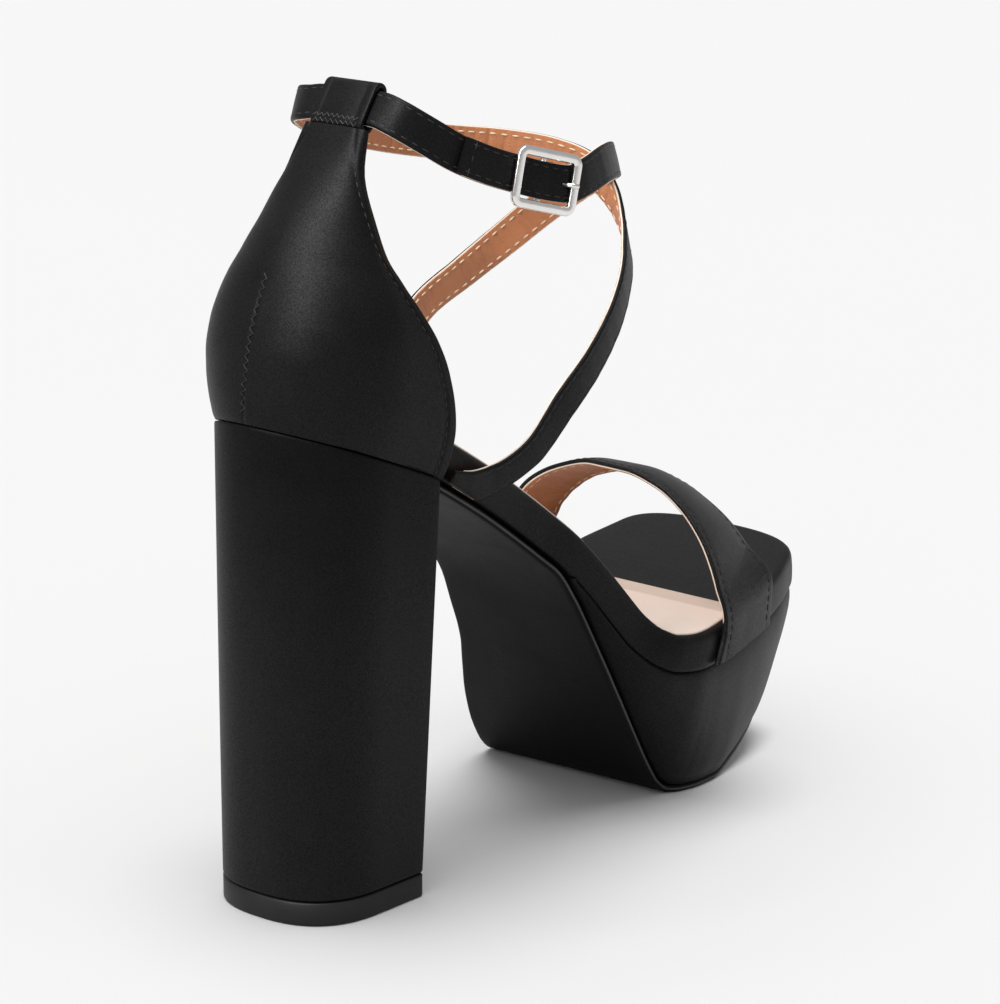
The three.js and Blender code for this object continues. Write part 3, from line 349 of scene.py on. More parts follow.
class Last:
    """The lines of the shoe, worked out from its sizes. Lengths in metres, from the back of the heel."""

    def __init__(self, size):
        self.size = s = size
        self.toe_round = 0.071 * s.sole_length
        self.seat_round = 0.117 * s.sole_length
        self.wedge_start = 0.432 * s.sole_length
        self.breast_front = s.heel_depth + s.breast_slope
        self.waist_start = self.breast_front + GAP
        self.counter_height = s.ring_height - s.seat_height - s.loop_drop
        climb = s.seat_height - s.platform_height
        self.foot = smooth_table([{
            "y": row["y"] * s.sole_length,
            "z": s.platform_height + row["rise"] * climb + row["spring"] * s.toe_spring,
            "outer": row["outer"] * s.ball_half,
            "inner": -row["inner"] * s.ball_half,
        } for row in FOOT], "y")
        rows = [{
            "under": row["under"] * s.sole_length,
            "y": row["y"] * s.sole_length,
            "z": row["height"] * float(self.foot(row["under"] * s.sole_length)["z"]),
            "outer": row["outer"] * s.ball_half,
            "inner": -row["inner"] * s.ball_half,
        } for row in GROUND]
        # Behind the platform the outsole lies under the footbed, up to the breast of the heel
        for y in np.linspace(0.42 * s.sole_length, self.waist_start + 1.5 * MM, 9):
            here = self.foot(y)
            low = self.on_foot(0, y, -s.outsole_thick - 2 * GAP)
            rows.insert(0, {
                "under": float(y), "y": float(low[1]), "z": float(low[2]),
                "outer": float(here["outer"]) - MM, "inner": float(here["inner"]) + MM,
            })
        self.ground = smooth_table(rows, "under")
        self.cup = smooth_table(CUP, "level")
        self.toe = smooth_table(TOE, "way")
        self.wall = smooth_table(WALL, "height")

    def foot_up(self, y):
        step = 0.5 * MM
        rise = self.foot(y + step)["z"] - self.foot(y - step)["z"]
        span = np.hypot(rise, 2 * step)
        return -rise / span, 2 * step / span

    def on_foot(self, x, y, height):
        x, y, height = np.broadcast_arrays(*(np.asarray(v, float) for v in (x, y, height)))
        up_y, up_z = self.foot_up(y)
        return np.stack([x, y + up_y * height, self.foot(y)["z"] + up_z * height], -1)

    def on_ground(self, x, under, height):
        x, under, height = np.broadcast_arrays(*(np.asarray(v, float) for v in (x, under, height)))
        step = 0.4 * MM
        here = self.ground(under)
        before = self.ground(under - step)
        after = self.ground(under + step)
        run = after["y"] - before["y"]
        rise = after["z"] - before["z"]
        span = np.hypot(run, rise)
        sole = self.size.sole_length
        slant = SKEW * x * smoothstep(here["y"], 0.44 * sole, 0.62 * sole)
        return np.stack([x, here["y"] + slant - rise / span * height, here["z"] + run / span * height], -1)

    def edges(self, line, y, share, inset):
        here = line(y)
        middle = (here["outer"] + here["inner"]) / 2
        half = ((here["outer"] - here["inner"]) / 2 - inset) * share
        return middle + half, middle - half

    def toe_stations(self, count, inset=0.0):
        """Places round the toe, and the share of the half width at each."""
        turn = np.linspace(0, math.pi / 2, count + 1)[1:]
        reach = self.toe_round * np.sin(turn) ** (2 / TOE_POWER)
        y = self.size.sole_length - inset - self.toe_round + reach
        return y, np.cos(turn) ** (2 / TOE_POWER)

    def heel_stations(self, count, inset=0.0):
        turn = np.linspace(0, math.pi / 2, count + 1)
        y = inset + self.seat_round * (1 - np.cos(turn) ** (2 / SEAT_POWER))
        return y, np.sin(turn) ** (2 / SEAT_POWER)


def shoe_last():
    return Last(bpy.context.scene.sandal_sizes)


# Meshes

def new_object(name, data):
    made = bpy.data.objects.new(name, data)
    bpy.context.scene.collection.objects.link(made)
    return made


def placed(points):
    """From the shoe's own lines, which start at the back of the heel, to the frame of the model."""
    return np.asarray(points) + np.array([0, bpy.context.scene.sandal_sizes.heel_depth / -2, 0])


def shell(name, grids, material, sharp=40):
    """One closed mesh from grids of points in the shoe's own lines, welded where they meet."""
    weld = 1e-7
    points = []
    faces = []
    for grid in grids:
        rows, columns = grid.shape[:2]
        start = len(points)
        points.extend(grid.reshape(-1, 3))
        for j in range(rows - 1):
            for k in range(columns - 1):
                a = start + j * columns + k
                faces.append((a, a + 1, a + columns + 1, a + columns))
    mesh = bpy.data.meshes.new(name)
    mesh.from_pydata([tuple(p) for p in placed(points)], [], faces)
    work = bmesh.new()
    work.from_mesh(mesh)
    bmesh.ops.remove_doubles(work, verts=work.verts, dist=weld)
    bmesh.ops.dissolve_degenerate(work, dist=weld, edges=work.edges)
    bmesh.ops.recalc_face_normals(work, faces=work.faces)
    if work.calc_volume(signed=True) < 0:
        bmesh.ops.reverse_faces(work, faces=work.faces)
    work.to_mesh(mesh)
    work.free()
    mesh.materials.append(material)
    for polygon in mesh.polygons:
        polygon.use_smooth = True
    mesh.set_sharp_from_angle(angle=math.radians(sharp))
    return new_object(name, mesh)


def ladder(outer, inner, columns):
    """Grid that spans from one side of an outline to the other."""
    share = np.linspace(0, 1, columns + 1)[None, :, None]
    return outer[:, None, :] * (1 - share) + inner[:, None, :] * share


def slab(name, levels, columns, material):
    """Closed body between outlines that follow each other. A level is (outer side, inner side)."""
    rings = []
    for outer, inner in levels:
        share = np.linspace(0, 1, columns + 1)[1:-1, None]
        ring = [outer]
        if np.linalg.norm(outer[-1] - inner[-1]) > 1e-6:
            ring.append(outer[-1] * (1 - share) + inner[-1] * share)
        ring.append(inner[::-1])
        if np.linalg.norm(outer[0] - inner[0]) > 1e-6:
            ring.append(inner[0] * (1 - share) + outer[0] * share)
        ring.append(outer[:1])
        rings.append(np.concatenate(ring))
    return shell(name, [np.stack(rings), ladder(*levels[0], columns), ladder(*levels[-1], columns)], material)


def end_caps(grid):
    """Fans that close both ends of a tube, each row of which ends where it starts."""
    caps = []
    for row in (grid[0], grid[-1]):
        centre = row[:-1].mean(0)
        caps.append(np.stack([row, np.repeat(centre[None], len(row), 0)]))
    return caps


def tube(name, path, radius, material, sides):
    """Round bead along a path, closed at its ends."""
    path = np.asarray(path)
    keep = np.concatenate([[True], np.linalg.norm(np.diff(path, axis=0), axis=1) > 1e-6])
    path = path[keep]
    along = np.gradient(path, axis=0)
    along /= np.linalg.norm(along, axis=1, keepdims=True)
    side = np.cross(along, np.array([0, 0, 1.0]))
    side /= np.maximum(np.linalg.norm(side, axis=1, keepdims=True), 1e-9)
    up = np.cross(side, along)
    turn = np.linspace(0, 2 * math.pi, sides + 1)
    ring = side[:, None] * np.cos(turn)[None, :, None] + up[:, None] * np.sin(turn)[None, :, None]
    grid = path[:, None] + ring * radius
    return shell(name, [grid, *end_caps(grid)], material)


def inset_outline(outer, inner, amount):
    """Plan outlines drawn in by an amount, square to their own line."""
    open_start = np.linalg.norm(outer[0] - inner[0]) > 1e-6
    open_end = np.linalg.norm(outer[-1] - inner[-1]) > 1e-6
    ring = np.concatenate([outer, inner[::-1]])
    before = np.roll(ring, 1, axis=0)
    after = np.roll(ring, -1, axis=0)
    count = len(outer)
    if not open_end:
        after[count - 1] = ring[count + 1]
        before[count] = ring[count - 2]
    if not open_start:
        before[0] = ring[-2]
        after[-1] = ring[1]
    along = after - before
    along /= np.maximum(np.linalg.norm(along, axis=1, keepdims=True), 1e-12)
    normal = np.stack([-along[:, 1], along[:, 0]], 1)
    moved = ring + normal * amount
    return moved[:count], moved[count:][::-1]


# Shader node groups

def feed(tree, node, inputs):
    """Set a node's sockets, each to a value or to what another socket puts out."""
    for socket, value in inputs.items():
        if isinstance(value, bpy.types.NodeSocket):
            tree.links.new(value, node.inputs[socket])
        else:
            node.inputs[socket].default_value = value


def add_node(tree, kind, inputs=None, **values):
    node = tree.nodes.new(kind)
    for name, value in values.items():
        setattr(node, name, value)
    feed(tree, node, inputs or {})
    return node


def new_group(name, kind, inputs, outputs):
    group = bpy.data.node_groups.new(name, kind)
    for socket, socket_type, default in inputs:
        made = group.interface.new_socket(name=socket, in_out='INPUT', socket_type=socket_type)
        if default is not None:
            made.default_value = default
    for socket, socket_type in outputs:
        group.interface.new_socket(name=socket, in_out='OUTPUT', socket_type=socket_type)
    return group, group.nodes.new('NodeGroupInput'), group.nodes.new('NodeGroupOutput')


def math_node(tree, operation, a, b, clamp=False):
    return add_node(tree, 'ShaderNodeMath', {0: a, 1: b}, operation=operation, use_clamp=clamp).outputs[0]


def noise_node(tree, vector, scale, detail=3.0, roughness=0.5, distortion=0.0):
    return add_node(tree, 'ShaderNodeTexNoise', {
        'Vector': vector, 'Scale': scale, 'Detail': detail, 'Roughness': roughness, 'Distortion': distortion,
    }).outputs['Fac']


@cache
def fine_weave_group():
    """Two crossing sets of threads with a little unevenness."""
    group, inside, out = new_group(
        "Fine weave", 'ShaderNodeTree',
        (("Vector", 'NodeSocketVector', None), ("Scale", 'NodeSocketFloat', 1200.0),
         ("Unevenness", 'NodeSocketFloat', 0.5)),
        (("Height", 'NodeSocketFloat'), ("Tone", 'NodeSocketFloat')),
    )
    vector = inside.outputs['Vector']
    waves = []
    for direction, share in (('Z', 1.0), ('DIAGONAL', 0.58)):
        waves.append(add_node(group, 'ShaderNodeTexWave', {
            'Vector': vector, 'Scale': math_node(group, 'MULTIPLY', inside.outputs['Scale'], share),
            'Distortion': 6.0, 'Detail': 2.0, 'Detail Scale': 2.5,
        }, wave_type='BANDS', bands_direction=direction).outputs['Fac'])
    grain = noise_node(group, vector, 2200.0, 3.0, 0.65)
    cloud = noise_node(group, vector, 90.0, 4.0, 0.55)
    threads = math_node(group, 'MAXIMUM', *waves)
    rough = math_node(group, 'MULTIPLY', grain, inside.outputs['Unevenness'])
    feed(group, out, {
        'Height': math_node(group, 'ADD', threads, rough),
        'Tone': math_node(group, 'ADD', math_node(group, 'MULTIPLY', cloud, 0.6),
                          math_node(group, 'MULTIPLY', grain, 0.4)),
    })
    return group


@cache
def hide_group():
    """Leather grain: small cells, pores and soft clouds."""
    group, inside, out = new_group(
        "Leather grain", 'ShaderNodeTree',
        (("Vector", 'NodeSocketVector', None), ("Scale", 'NodeSocketFloat', 1300.0)),
        (("Height", 'NodeSocketFloat'), ("Tone", 'NodeSocketFloat')),
    )
    vector = inside.outputs['Vector']
    cells = add_node(group, 'ShaderNodeTexVoronoi', {'Vector': vector, 'Scale': inside.outputs['Scale']},
                     feature='DISTANCE_TO_EDGE')
    fine = noise_node(group, vector, 1900.0, 3.0, 0.6)
    edge = math_node(group, 'MULTIPLY', cells.outputs['Distance'], 1.6, clamp=True)
    feed(group, out, {
        'Height': math_node(group, 'ADD', edge, math_node(group, 'MULTIPLY', fine, 0.5)),
        'Tone': noise_node(group, vector, 70.0, 5.0, 0.6, 0.4),
    })
    return group


# Materials

def new_material(name):
    """A material with its node tree, its shader and the vector that its patterns follow."""
    material = bpy.data.materials.new(name)
    material.use_nodes = True
    tree = material.node_tree
    return material, tree, tree.nodes['Principled BSDF'], object_vector(tree)


def object_vector(tree):
    return tree.nodes.new('ShaderNodeTexCoord').outputs['Object']


def tint(name):
    return tuple(getattr(bpy.context.scene.sandal_finish, name))


def spread(value, amount):
    return tuple(min(channel * amount, 1) for channel in value)


def shade(tree, tone, value, darkest, lightest):
    """A colour that drifts between two shares of itself with a tone."""
    ramp = add_node(tree, 'ShaderNodeValToRGB', {'Fac': tone})
    for element, position, share in zip(ramp.color_ramp.elements, (0.3, 0.7), (darkest, lightest)):
        element.position = position
        element.color = (*spread(value, share), 1)
    return ramp.outputs['Color']


def uneven(tree, tone, middle, swing):
    """A roughness that swings about its middle with a tone."""
    return math_node(tree, 'ADD', math_node(tree, 'MULTIPLY', tone, swing), middle - swing / 2)


def bump(tree, height, strength, distance=0.0001):
    return add_node(tree, 'ShaderNodeBump', {
        'Height': height, 'Strength': strength, 'Distance': distance,
    }).outputs['Normal']


@cache
def satin_material(name="Satin", roughness=0.44, grain=0.19, shine=0.12, sparkle=0.27, fade=None):
    """Satin whose gloss swings from thread to thread, and with fade dies away between two heights as painted shade."""
    material, tree, shader, vector = new_material(name)
    weave = add_node(tree, 'ShaderNodeGroup', {'Vector': vector, 'Scale': 1150.0, 'Unevenness': 0.9},
                     node_tree=fine_weave_group())
    tone = weave.outputs['Tone']
    glint = noise_node(tree, vector, 2300.0, 2.0, 0.6)
    gloss = uneven(tree, glint, shine, sparkle)
    if fade is not None:
        low, high, share = fade
        height = add_node(tree, 'ShaderNodeSeparateXYZ', {'Vector': vector}).outputs['Z']
        climb = math_node(tree, 'MULTIPLY', math_node(tree, 'SUBTRACT', height, low), 1 / (high - low), clamp=True)
        left = math_node(tree, 'SUBTRACT', 1.0, math_node(tree, 'MULTIPLY', climb, 1 - share))
        gloss = math_node(tree, 'MULTIPLY', gloss, left)
    feed(tree, shader, {
        'Base Color': shade(tree, tone, tint("satin"), 0.75, 1.35),
        'Roughness': uneven(tree, tone, roughness, 0.16),
        'Specular IOR Level': math_node(tree, 'MAXIMUM', gloss, 0.01),
        'Normal': bump(tree, weave.outputs['Height'], grain),
    })
    return material


@cache
def grained_material(name, value, roughness, shades, scale, strength, shine=0.35, coat=0.0, crinkle=0.0, deep=0.0001):
    """Leather or rubber with its grain, and soft folds where it is crinkled."""
    material, tree, shader, vector = new_material(name)
    grain = add_node(tree, 'ShaderNodeGroup', {'Vector': vector, 'Scale': scale}, node_tree=hide_group())
    tone = grain.outputs['Tone']
    height = grain.outputs['Height']
    if crinkle:
        folds = noise_node(tree, vector, 330.0, 3.0, 0.5, 1.6)
        height = math_node(tree, 'ADD', height, math_node(tree, 'MULTIPLY', folds, crinkle))
    feed(tree, shader, {
        'Base Color': shade(tree, tone, value, *shades),
        'Roughness': uneven(tree, tone, roughness, 0.2),
        'Specular IOR Level': shine, 'Coat Weight': coat,
        'Normal': bump(tree, height, strength, deep),
    })
    return material


def rubber_material(name="Rubber", lift=1.0, roughness=0.58, shine=0.10):
    return grained_material(name, spread(tint("rubber"), lift), roughness, (0.8, 1.3), 700.0, 0.3, shine, deep=0.00012)


def lining_material():
    return grained_material("Tan lining", tint("lining"), 0.50, (0.86, 1.14), 1250.0, 0.5, crinkle=3.0)


def crinkled_material():
    return grained_material("Crinkled lining", tint("lining"), 0.42, (0.86, 1.14), 1250.0, 0.8, crinkle=7.0)


def edge_material():
    return grained_material("Cream edge", tint("edge"), 0.6, (0.86, 1.14), 1250.0, 0.25)


@cache
def sock_material():
    """Sock leather with a darker strip along its front edge."""
    strip_width = 8 * MM
    material = grained_material("Sock leather", tint("sock"), 0.42, (0.965, 1.035), 1500.0, 0.16, coat=0.12)
    tree = material.node_tree
    colour_in = tree.nodes['Principled BSDF'].inputs['Base Color']
    size = bpy.context.scene.sandal_sizes
    along = add_node(tree, 'ShaderNodeSeparateXYZ', {'Vector': object_vector(tree)}).outputs['Y']
    edge = size.sock_front - size.heel_depth / 2 - strip_width
    strip = math_node(tree, 'MULTIPLY', math_node(tree, 'SUBTRACT', along, edge), 1 / MM, clamp=True)
    mix = add_node(tree, 'ShaderNodeMixRGB', {
        'Fac': strip, 'Color1': colour_in.links[0].from_socket, 'Color2': (0.80, 0.77, 0.73, 1),
    }, blend_type='MULTIPLY')
    tree.links.new(mix.outputs['Color'], colour_in)
    return material


@cache
def metal_material():
    material, tree, shader, vector = new_material("Polished metal")
    cloud = noise_node(tree, vector, 260.0, 4.0, 0.6)
    feed(tree, shader, {
        'Base Color': shade(tree, cloud, tint("metal"), 0.94, 1.0),
        'Roughness': uneven(tree, cloud, 0.17, 0.14),
        'Metallic': 1.0,
        'Normal': bump(tree, noise_node(tree, vector, 1500.0, 2.0), 0.06),
    })
    return material


@cache
def thread_material(name, value):
    material, tree, shader, vector = new_material(name)
    twist = add_node(tree, 'ShaderNodeTexWave', {'Vector': vector, 'Scale': 1400.0},
                     wave_type='BANDS', bands_direction='DIAGONAL')
    feed(tree, shader, {
        'Base Color': shade(tree, noise_node(tree, vector, 900.0, 2.0), value, 0.8, 1.15),
        'Roughness': 0.6,
        'Normal': bump(tree, twist.outputs['Fac'], 0.4),
    })
    return material


# Putting each piece in place of the parts it replaces, and collections for light linking

def attach(piece, slot, *nodes):
    if nodes:
        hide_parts(*nodes)
    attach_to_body(piece, "root")
    return piece


NO_SHADOW = "No overhead shadow"


def left_out(name, *pieces):
    """A collection for light linking, with pieces that a light passes by."""
    group = bpy.data.collections.get(name) or bpy.data.collections.new(name)
    for piece in pieces:
        group.objects.link(piece)
        group.collection_objects[len(group.objects) - 1].light_linking.link_state = 'EXCLUDE'
    return group


# Sole

def sole_sides(last, line, y, share, inset=0.0):
    outer, inner = last.edges(line, y, share, inset)
    return np.stack([outer, y], 1), np.stack([inner, y], 1)


def drawn_levels(place, outer, inner, profile):
    """Outlines of a slab. A row of the profile is how far one is drawn in, in mm, and its height."""
    levels = []
    for draw, height in profile:
        sides = inset_outline(outer, inner, draw * MM)
        levels.append([place(side[:, 0], side[:, 1], height) for side in sides])
    return levels


# Sides of the layers: how far each is drawn in, in mm, and how high. The height is in mm at the usual
# thickness, but for the sock it is a share of it.
FOOTBED_SIDE = (
    (2.4, 0.02), (1.1, 0.03), (0.5, 0.18), (0.12, 0.6), (0, 1.3), (-0.12, 3.2), (-0.16, 5.2), (-0.08, 7.2),
    (0.05, 8.3), (0.35, 9.1), (0.85, 9.65), (1.6, 9.92), (2.4, 10),
)
SOCK_SIDE = ((0.4, 0), (0.0, 0.1), (0.0, 0.4), (0.15, 0.6), (0.5, 0.72), (1.4, 0.76))
OUTSOLE_SIDE = ((2.0, 0), (0.7, 0), (0.25, 0.12), (0, 0.45), (0, 1.5), (0.2, 1.85), (0.7, 2), (2.0, 2))
LIFT_SIDE = (
    (2.4, 0), (0.7, 0), (0.25, 0.2), (0.05, 0.6), (0.05, 3), (0.05, 5.8), (0.3, 6.1), (0.8, 6.3), (2.4, 6.3),
)
# Side of the platform: share of its height, and how far it is drawn in there, in mm
PLATFORM_SIDE = (
    (0, 2.6), (0, 0.8), (0.006, 0.25), (0.016, 0.05), (0.04, 0), (0.08, 0), (0.12, 0), (0.19, 0), (0.27, 0),
    (0.36, 0), (0.45, 0), (0.54, 0), (0.63, 0), (0.72, 0), (0.80, 0.05), (0.87, 0.2), (0.925, 0.45), (0.96, 0.75),
    (0.985, 1.1), (1.0, 1.7), (1.0, 3.0),
)


def build_footbed(last):
    s = last.size
    heel_y, heel_share = last.heel_stations(26)
    toe_y, toe_share = last.toe_stations(30)
    middle_y = np.linspace(heel_y[-1], s.sole_length - last.toe_round, 96)[1:]
    y = np.concatenate([heel_y, middle_y, toe_y])
    share = np.concatenate([heel_share, np.ones(len(middle_y)), toe_share])
    outer, inner = sole_sides(last, last.foot, y, share)
    profile = [(draw, height / 10 * s.footbed_thick) for draw, height in FOOTBED_SIDE]
    piece = slab("footbed_wrap", drawn_levels(last.on_foot, outer, inner, profile), 12, satin_material())
    left_out(NO_SHADOW, piece)
    return attach(piece, "satin", "footbed")


def build_sock(last):
    s = last.size
    base = s.footbed_thick - 0.12 * MM
    heel_y, heel_share = last.heel_stations(24, s.sock_margin)
    middle_y = np.linspace(heel_y[-1], s.sock_front, 90)[1:]
    y = np.concatenate([heel_y, middle_y])
    share = np.concatenate([heel_share, np.ones(len(middle_y))])
    outer, inner = sole_sides(last, last.foot, y, share, s.sock_margin)
    profile = [(draw, base + height * s.sock_thick) for draw, height in SOCK_SIDE]
    piece = slab("insole_sock_leather", drawn_levels(last.on_foot, outer, inner, profile), 12, sock_material())
    return attach(piece, "sock_leather", "insole_sock")


def ground_stations(last, first, straight, round_count):
    toe_y, toe_share = last.toe_stations(round_count)
    middle_y = np.linspace(first, last.size.sole_length - last.toe_round, straight)
    return np.concatenate([middle_y, toe_y]), np.concatenate([np.ones(len(middle_y)), toe_share])


def build_platform(last):
    s = last.size
    under, share = ground_stations(last, last.wedge_start, 84, 26)
    bottoms = last.edges(last.ground, under, share, 0.0)
    brims = last.edges(last.foot, under, share, 0.0)
    low = s.outsole_thick + 0.15 * MM
    heights, draws = np.array(PLATFORM_SIDE).T
    ways = np.clip(last.wall(heights)["way"], 0, 1)
    levels = []
    for height, draw, way in zip(heights, draws * MM, ways):
        sides = []
        for bottom_x, brim_x in zip(bottoms, brims):
            a = last.on_ground(bottom_x, under, low)
            b = last.on_foot(brim_x, under, -GAP)
            sides.append(a + (b - a) * np.array([way, way, height]))
        outer, inner = inset_outline(sides[0][:, :2], sides[1][:, :2], draw)
        sides[0][:, :2] = outer
        sides[1][:, :2] = inner
        levels.append(sides)
    piece = slab("platform_wrap", levels, 12, satin_material())
    left_out(NO_SHADOW, piece)
    return attach(piece, "satin", "platform")


def build_outsole(last):
    s = last.size
    under, share = ground_stations(last, last.waist_start + 1.5 * MM, 100, 24)
    under = np.minimum(under, s.sole_length)
    outer, inner = sole_sides(last, last.ground, under, share, 0.6 * MM)
    profile = [(draw, height / 2 * s.outsole_thick) for draw, height in OUTSOLE_SIDE]
    piece = slab("outsole_rubber", drawn_levels(last.on_ground, outer, inner, profile), 10, rubber_material())
    attach(piece, "rubber_sole", "outsole")
    # Lighter line along its edge, half way up: a painted highlight on the outsole's rounded side
    rim = [last.on_ground(side[:, 0] + sign * 0.05 * MM, under, 1.0 * MM) for side, sign in ((outer, 1), (inner, -1))]
    path = np.concatenate([rim[0], rim[1][::-1]])
    line = tube("outsole_edge_line", path, 0.34 * MM, rubber_material("Edge paint", 12.0, 0.4, 0.3), 8)
    attach(line, "rubber_sole")
    return piece


# Heel

def heel_outline(half, back, breast, rounding, power):
    corner = 1.8 * MM
    turn = np.linspace(math.pi / 2, 0, 9)
    side = [(0, breast), (half * 0.3, breast), (half * 0.6, breast), (half - corner * 1.6, breast)]
    side += [(half - corner + corner * math.cos(a), breast - corner + corner * math.sin(a)) for a in turn]
    low = breast - corner
    high = back + rounding
    side += [(half, low + (high - low) * k / 5) for k in range(1, 5)]
    for a in np.linspace(math.pi / 2, 0, 34):
        side.append((half * math.sin(a) ** (2 / power), back + rounding * (1 - max(math.cos(a), 0) ** (2 / power))))
    outer = np.array(side)
    outer[-1, 0] = 0
    inner = outer * np.array([-1, 1])
    return outer, inner


def build_heel(last):
    s = last.size
    low = s.lift_thick + GAP
    levels = []
    # Share of the height, and how far the outline is drawn in there, in mm
    profile = [(0, 2.0), (0, 0.6), (0.0015, 0.2), (0.004, 0.04)]
    profile += [(share, 0) for share in np.linspace(0.008, 0.992, 26)]
    profile += [(0.996, 0.05), (0.9985, 0.25), (1, 0.7), (1, 2.0)]
    for share, draw in profile:
        half = s.heel_half + s.heel_flare * share
        rounding = s.heel_round + (s.heel_round_top - s.heel_round) * share
        power = HEEL_POWER + (HEEL_POWER_TOP - HEEL_POWER) * share
        outline = heel_outline(half, -s.heel_lean * share, s.heel_depth + s.breast_slope * share, rounding, power)
        sides = []
        for side in inset_outline(*outline, draw * -MM):
            top = last.foot(side[:, 1])["z"] - GAP
            sides.append(np.stack([side[:, 0], side[:, 1], low + (top - low) * share], 1))
        levels.append(sides)
    # The heel's sheen dies away to half towards its top: painted shade
    satin = satin_material("Heel satin", fade=(0.5 * s.seat_height, 0.95 * s.seat_height, 0.5))
    return attach(slab("heel_wrap", levels, 8, satin), "satin", "heel")


def build_lift(last):
    def flat(x, y, height):
        return np.stack([x, y, np.full(len(x), height)], 1)

    s = last.size
    outline = heel_outline(s.heel_half, 0, s.heel_depth, s.heel_round, HEEL_POWER)
    profile = [(-draw, height / 6.3 * s.lift_thick) for draw, height in LIFT_SIDE]
    piece = slab("heel_lift_rubber", drawn_levels(flat, *outline, profile), 8,
                 rubber_material("Lift rubber", 2.4, 0.5, 0.26))
    return attach(piece, "rubber_lift", "top_lift")


# Heel cup

def cup_surface(last, levels, angles, straights):
    """Outer face of the heel cup: a row for each level, from the outer front edge round to the inner one."""
    s = last.size
    row = last.cup(levels)
    back_y = row["back"] * s.counter_reach
    front_y = row["front"] * s.counter_reach
    back_z = last.foot(-s.heel_lean)["z"] + row["low"] * last.counter_height
    front_z = last.foot(last.breast_front)["z"] + row["rise"] * last.counter_height
    half = row["half"] * s.counter_half
    depth = front_y - back_y
    rounding = row["round"] * depth
    power = row["power"]
    xs = []
    ys = []
    for straight in straights:
        xs.append(half)
        ys.append(front_y - (depth - rounding) * straight)
    for angle in angles:
        xs.append(half * max(math.sin(angle), 0) ** (2 / power))
        ys.append(back_y + rounding * (1 - max(math.cos(angle), 0) ** (2 / power)))
    x = np.stack(xs, 1)
    y = np.stack(ys, 1)
    z = back_z[:, None] + (front_z - back_z)[:, None] * (y - back_y[:, None]) / depth[:, None]
    outer = np.stack([x, y, z], -1)
    inner = outer[:, :-1][:, ::-1] * np.array([-1, 1, 1])
    return np.concatenate([outer, inner], 1)


def grid_normals(grid):
    up = np.gradient(grid, axis=0)
    across = np.gradient(grid, axis=1)
    normal = np.cross(up, across)
    return normal / np.maximum(np.linalg.norm(normal, axis=-1, keepdims=True), 1e-12)


def wall_shell(name, outer, inner, material, bulge):
    """Closed wall between two faces, with rolled side edges."""
    turns = np.linspace(0, math.pi, 7)[1:-1]

    def roll(a, b, back):
        middle = (a + b) / 2
        half = (a - b) / 2
        away = middle - back
        length_2 = np.maximum(np.sum(half * half, -1, keepdims=True), 1e-12)
        away -= half * (np.sum(away * half, -1, keepdims=True) / length_2)
        away /= np.maximum(np.linalg.norm(away, axis=-1, keepdims=True), 1e-9)
        reach = np.linalg.norm(half, axis=-1, keepdims=True) * bulge
        return np.stack([middle + half * math.cos(t) + away * reach * math.sin(t) for t in turns], 1)

    last_side = roll(outer[:, -1], inner[:, -1], (outer[:, -2] + inner[:, -2]) / 2)
    first_side = roll(inner[:, 0], outer[:, 0], (outer[:, 1] + inner[:, 1]) / 2)
    ring = np.concatenate([outer, last_side, inner[:, ::-1], first_side, outer[:, :1]], 1)
    span = len(turns) + 2
    columns = outer.shape[1]
    caps = []
    for j in (0, -1):
        caps.append(np.stack([outer[j], inner[j]]))
    for j in (0, -1):
        for start, ends in ((columns - 1, (outer[j, -1], inner[j, -1])),
                            (2 * columns + len(turns) - 1, (inner[j, 0], outer[j, 0]))):
            caps.append(np.stack([ring[j, start:start + span], np.linspace(*ends, span)]))
    return shell(name, [ring, *caps], material)


# Where the heel cup has its points: round its back, along each straight side, and up its height
CUP_ANGLES = np.concatenate([
    np.linspace(math.pi / 2, 0.16, 26),
    [0.12, 0.09, 0.066, 0.048, 0.034, 0.022, 0.012, 0.005, 0.0],
])
CUP_STRAIGHTS = np.concatenate([[0, 0.015, 0.03, 0.05, 0.075, 0.1, 0.13], np.linspace(0.17, 0.95, 12)])
CUP_LEVELS = np.concatenate([[0, 0.006, 0.014, 0.026], np.linspace(0.045, 0.985, 62), [0.994, 1.0]])


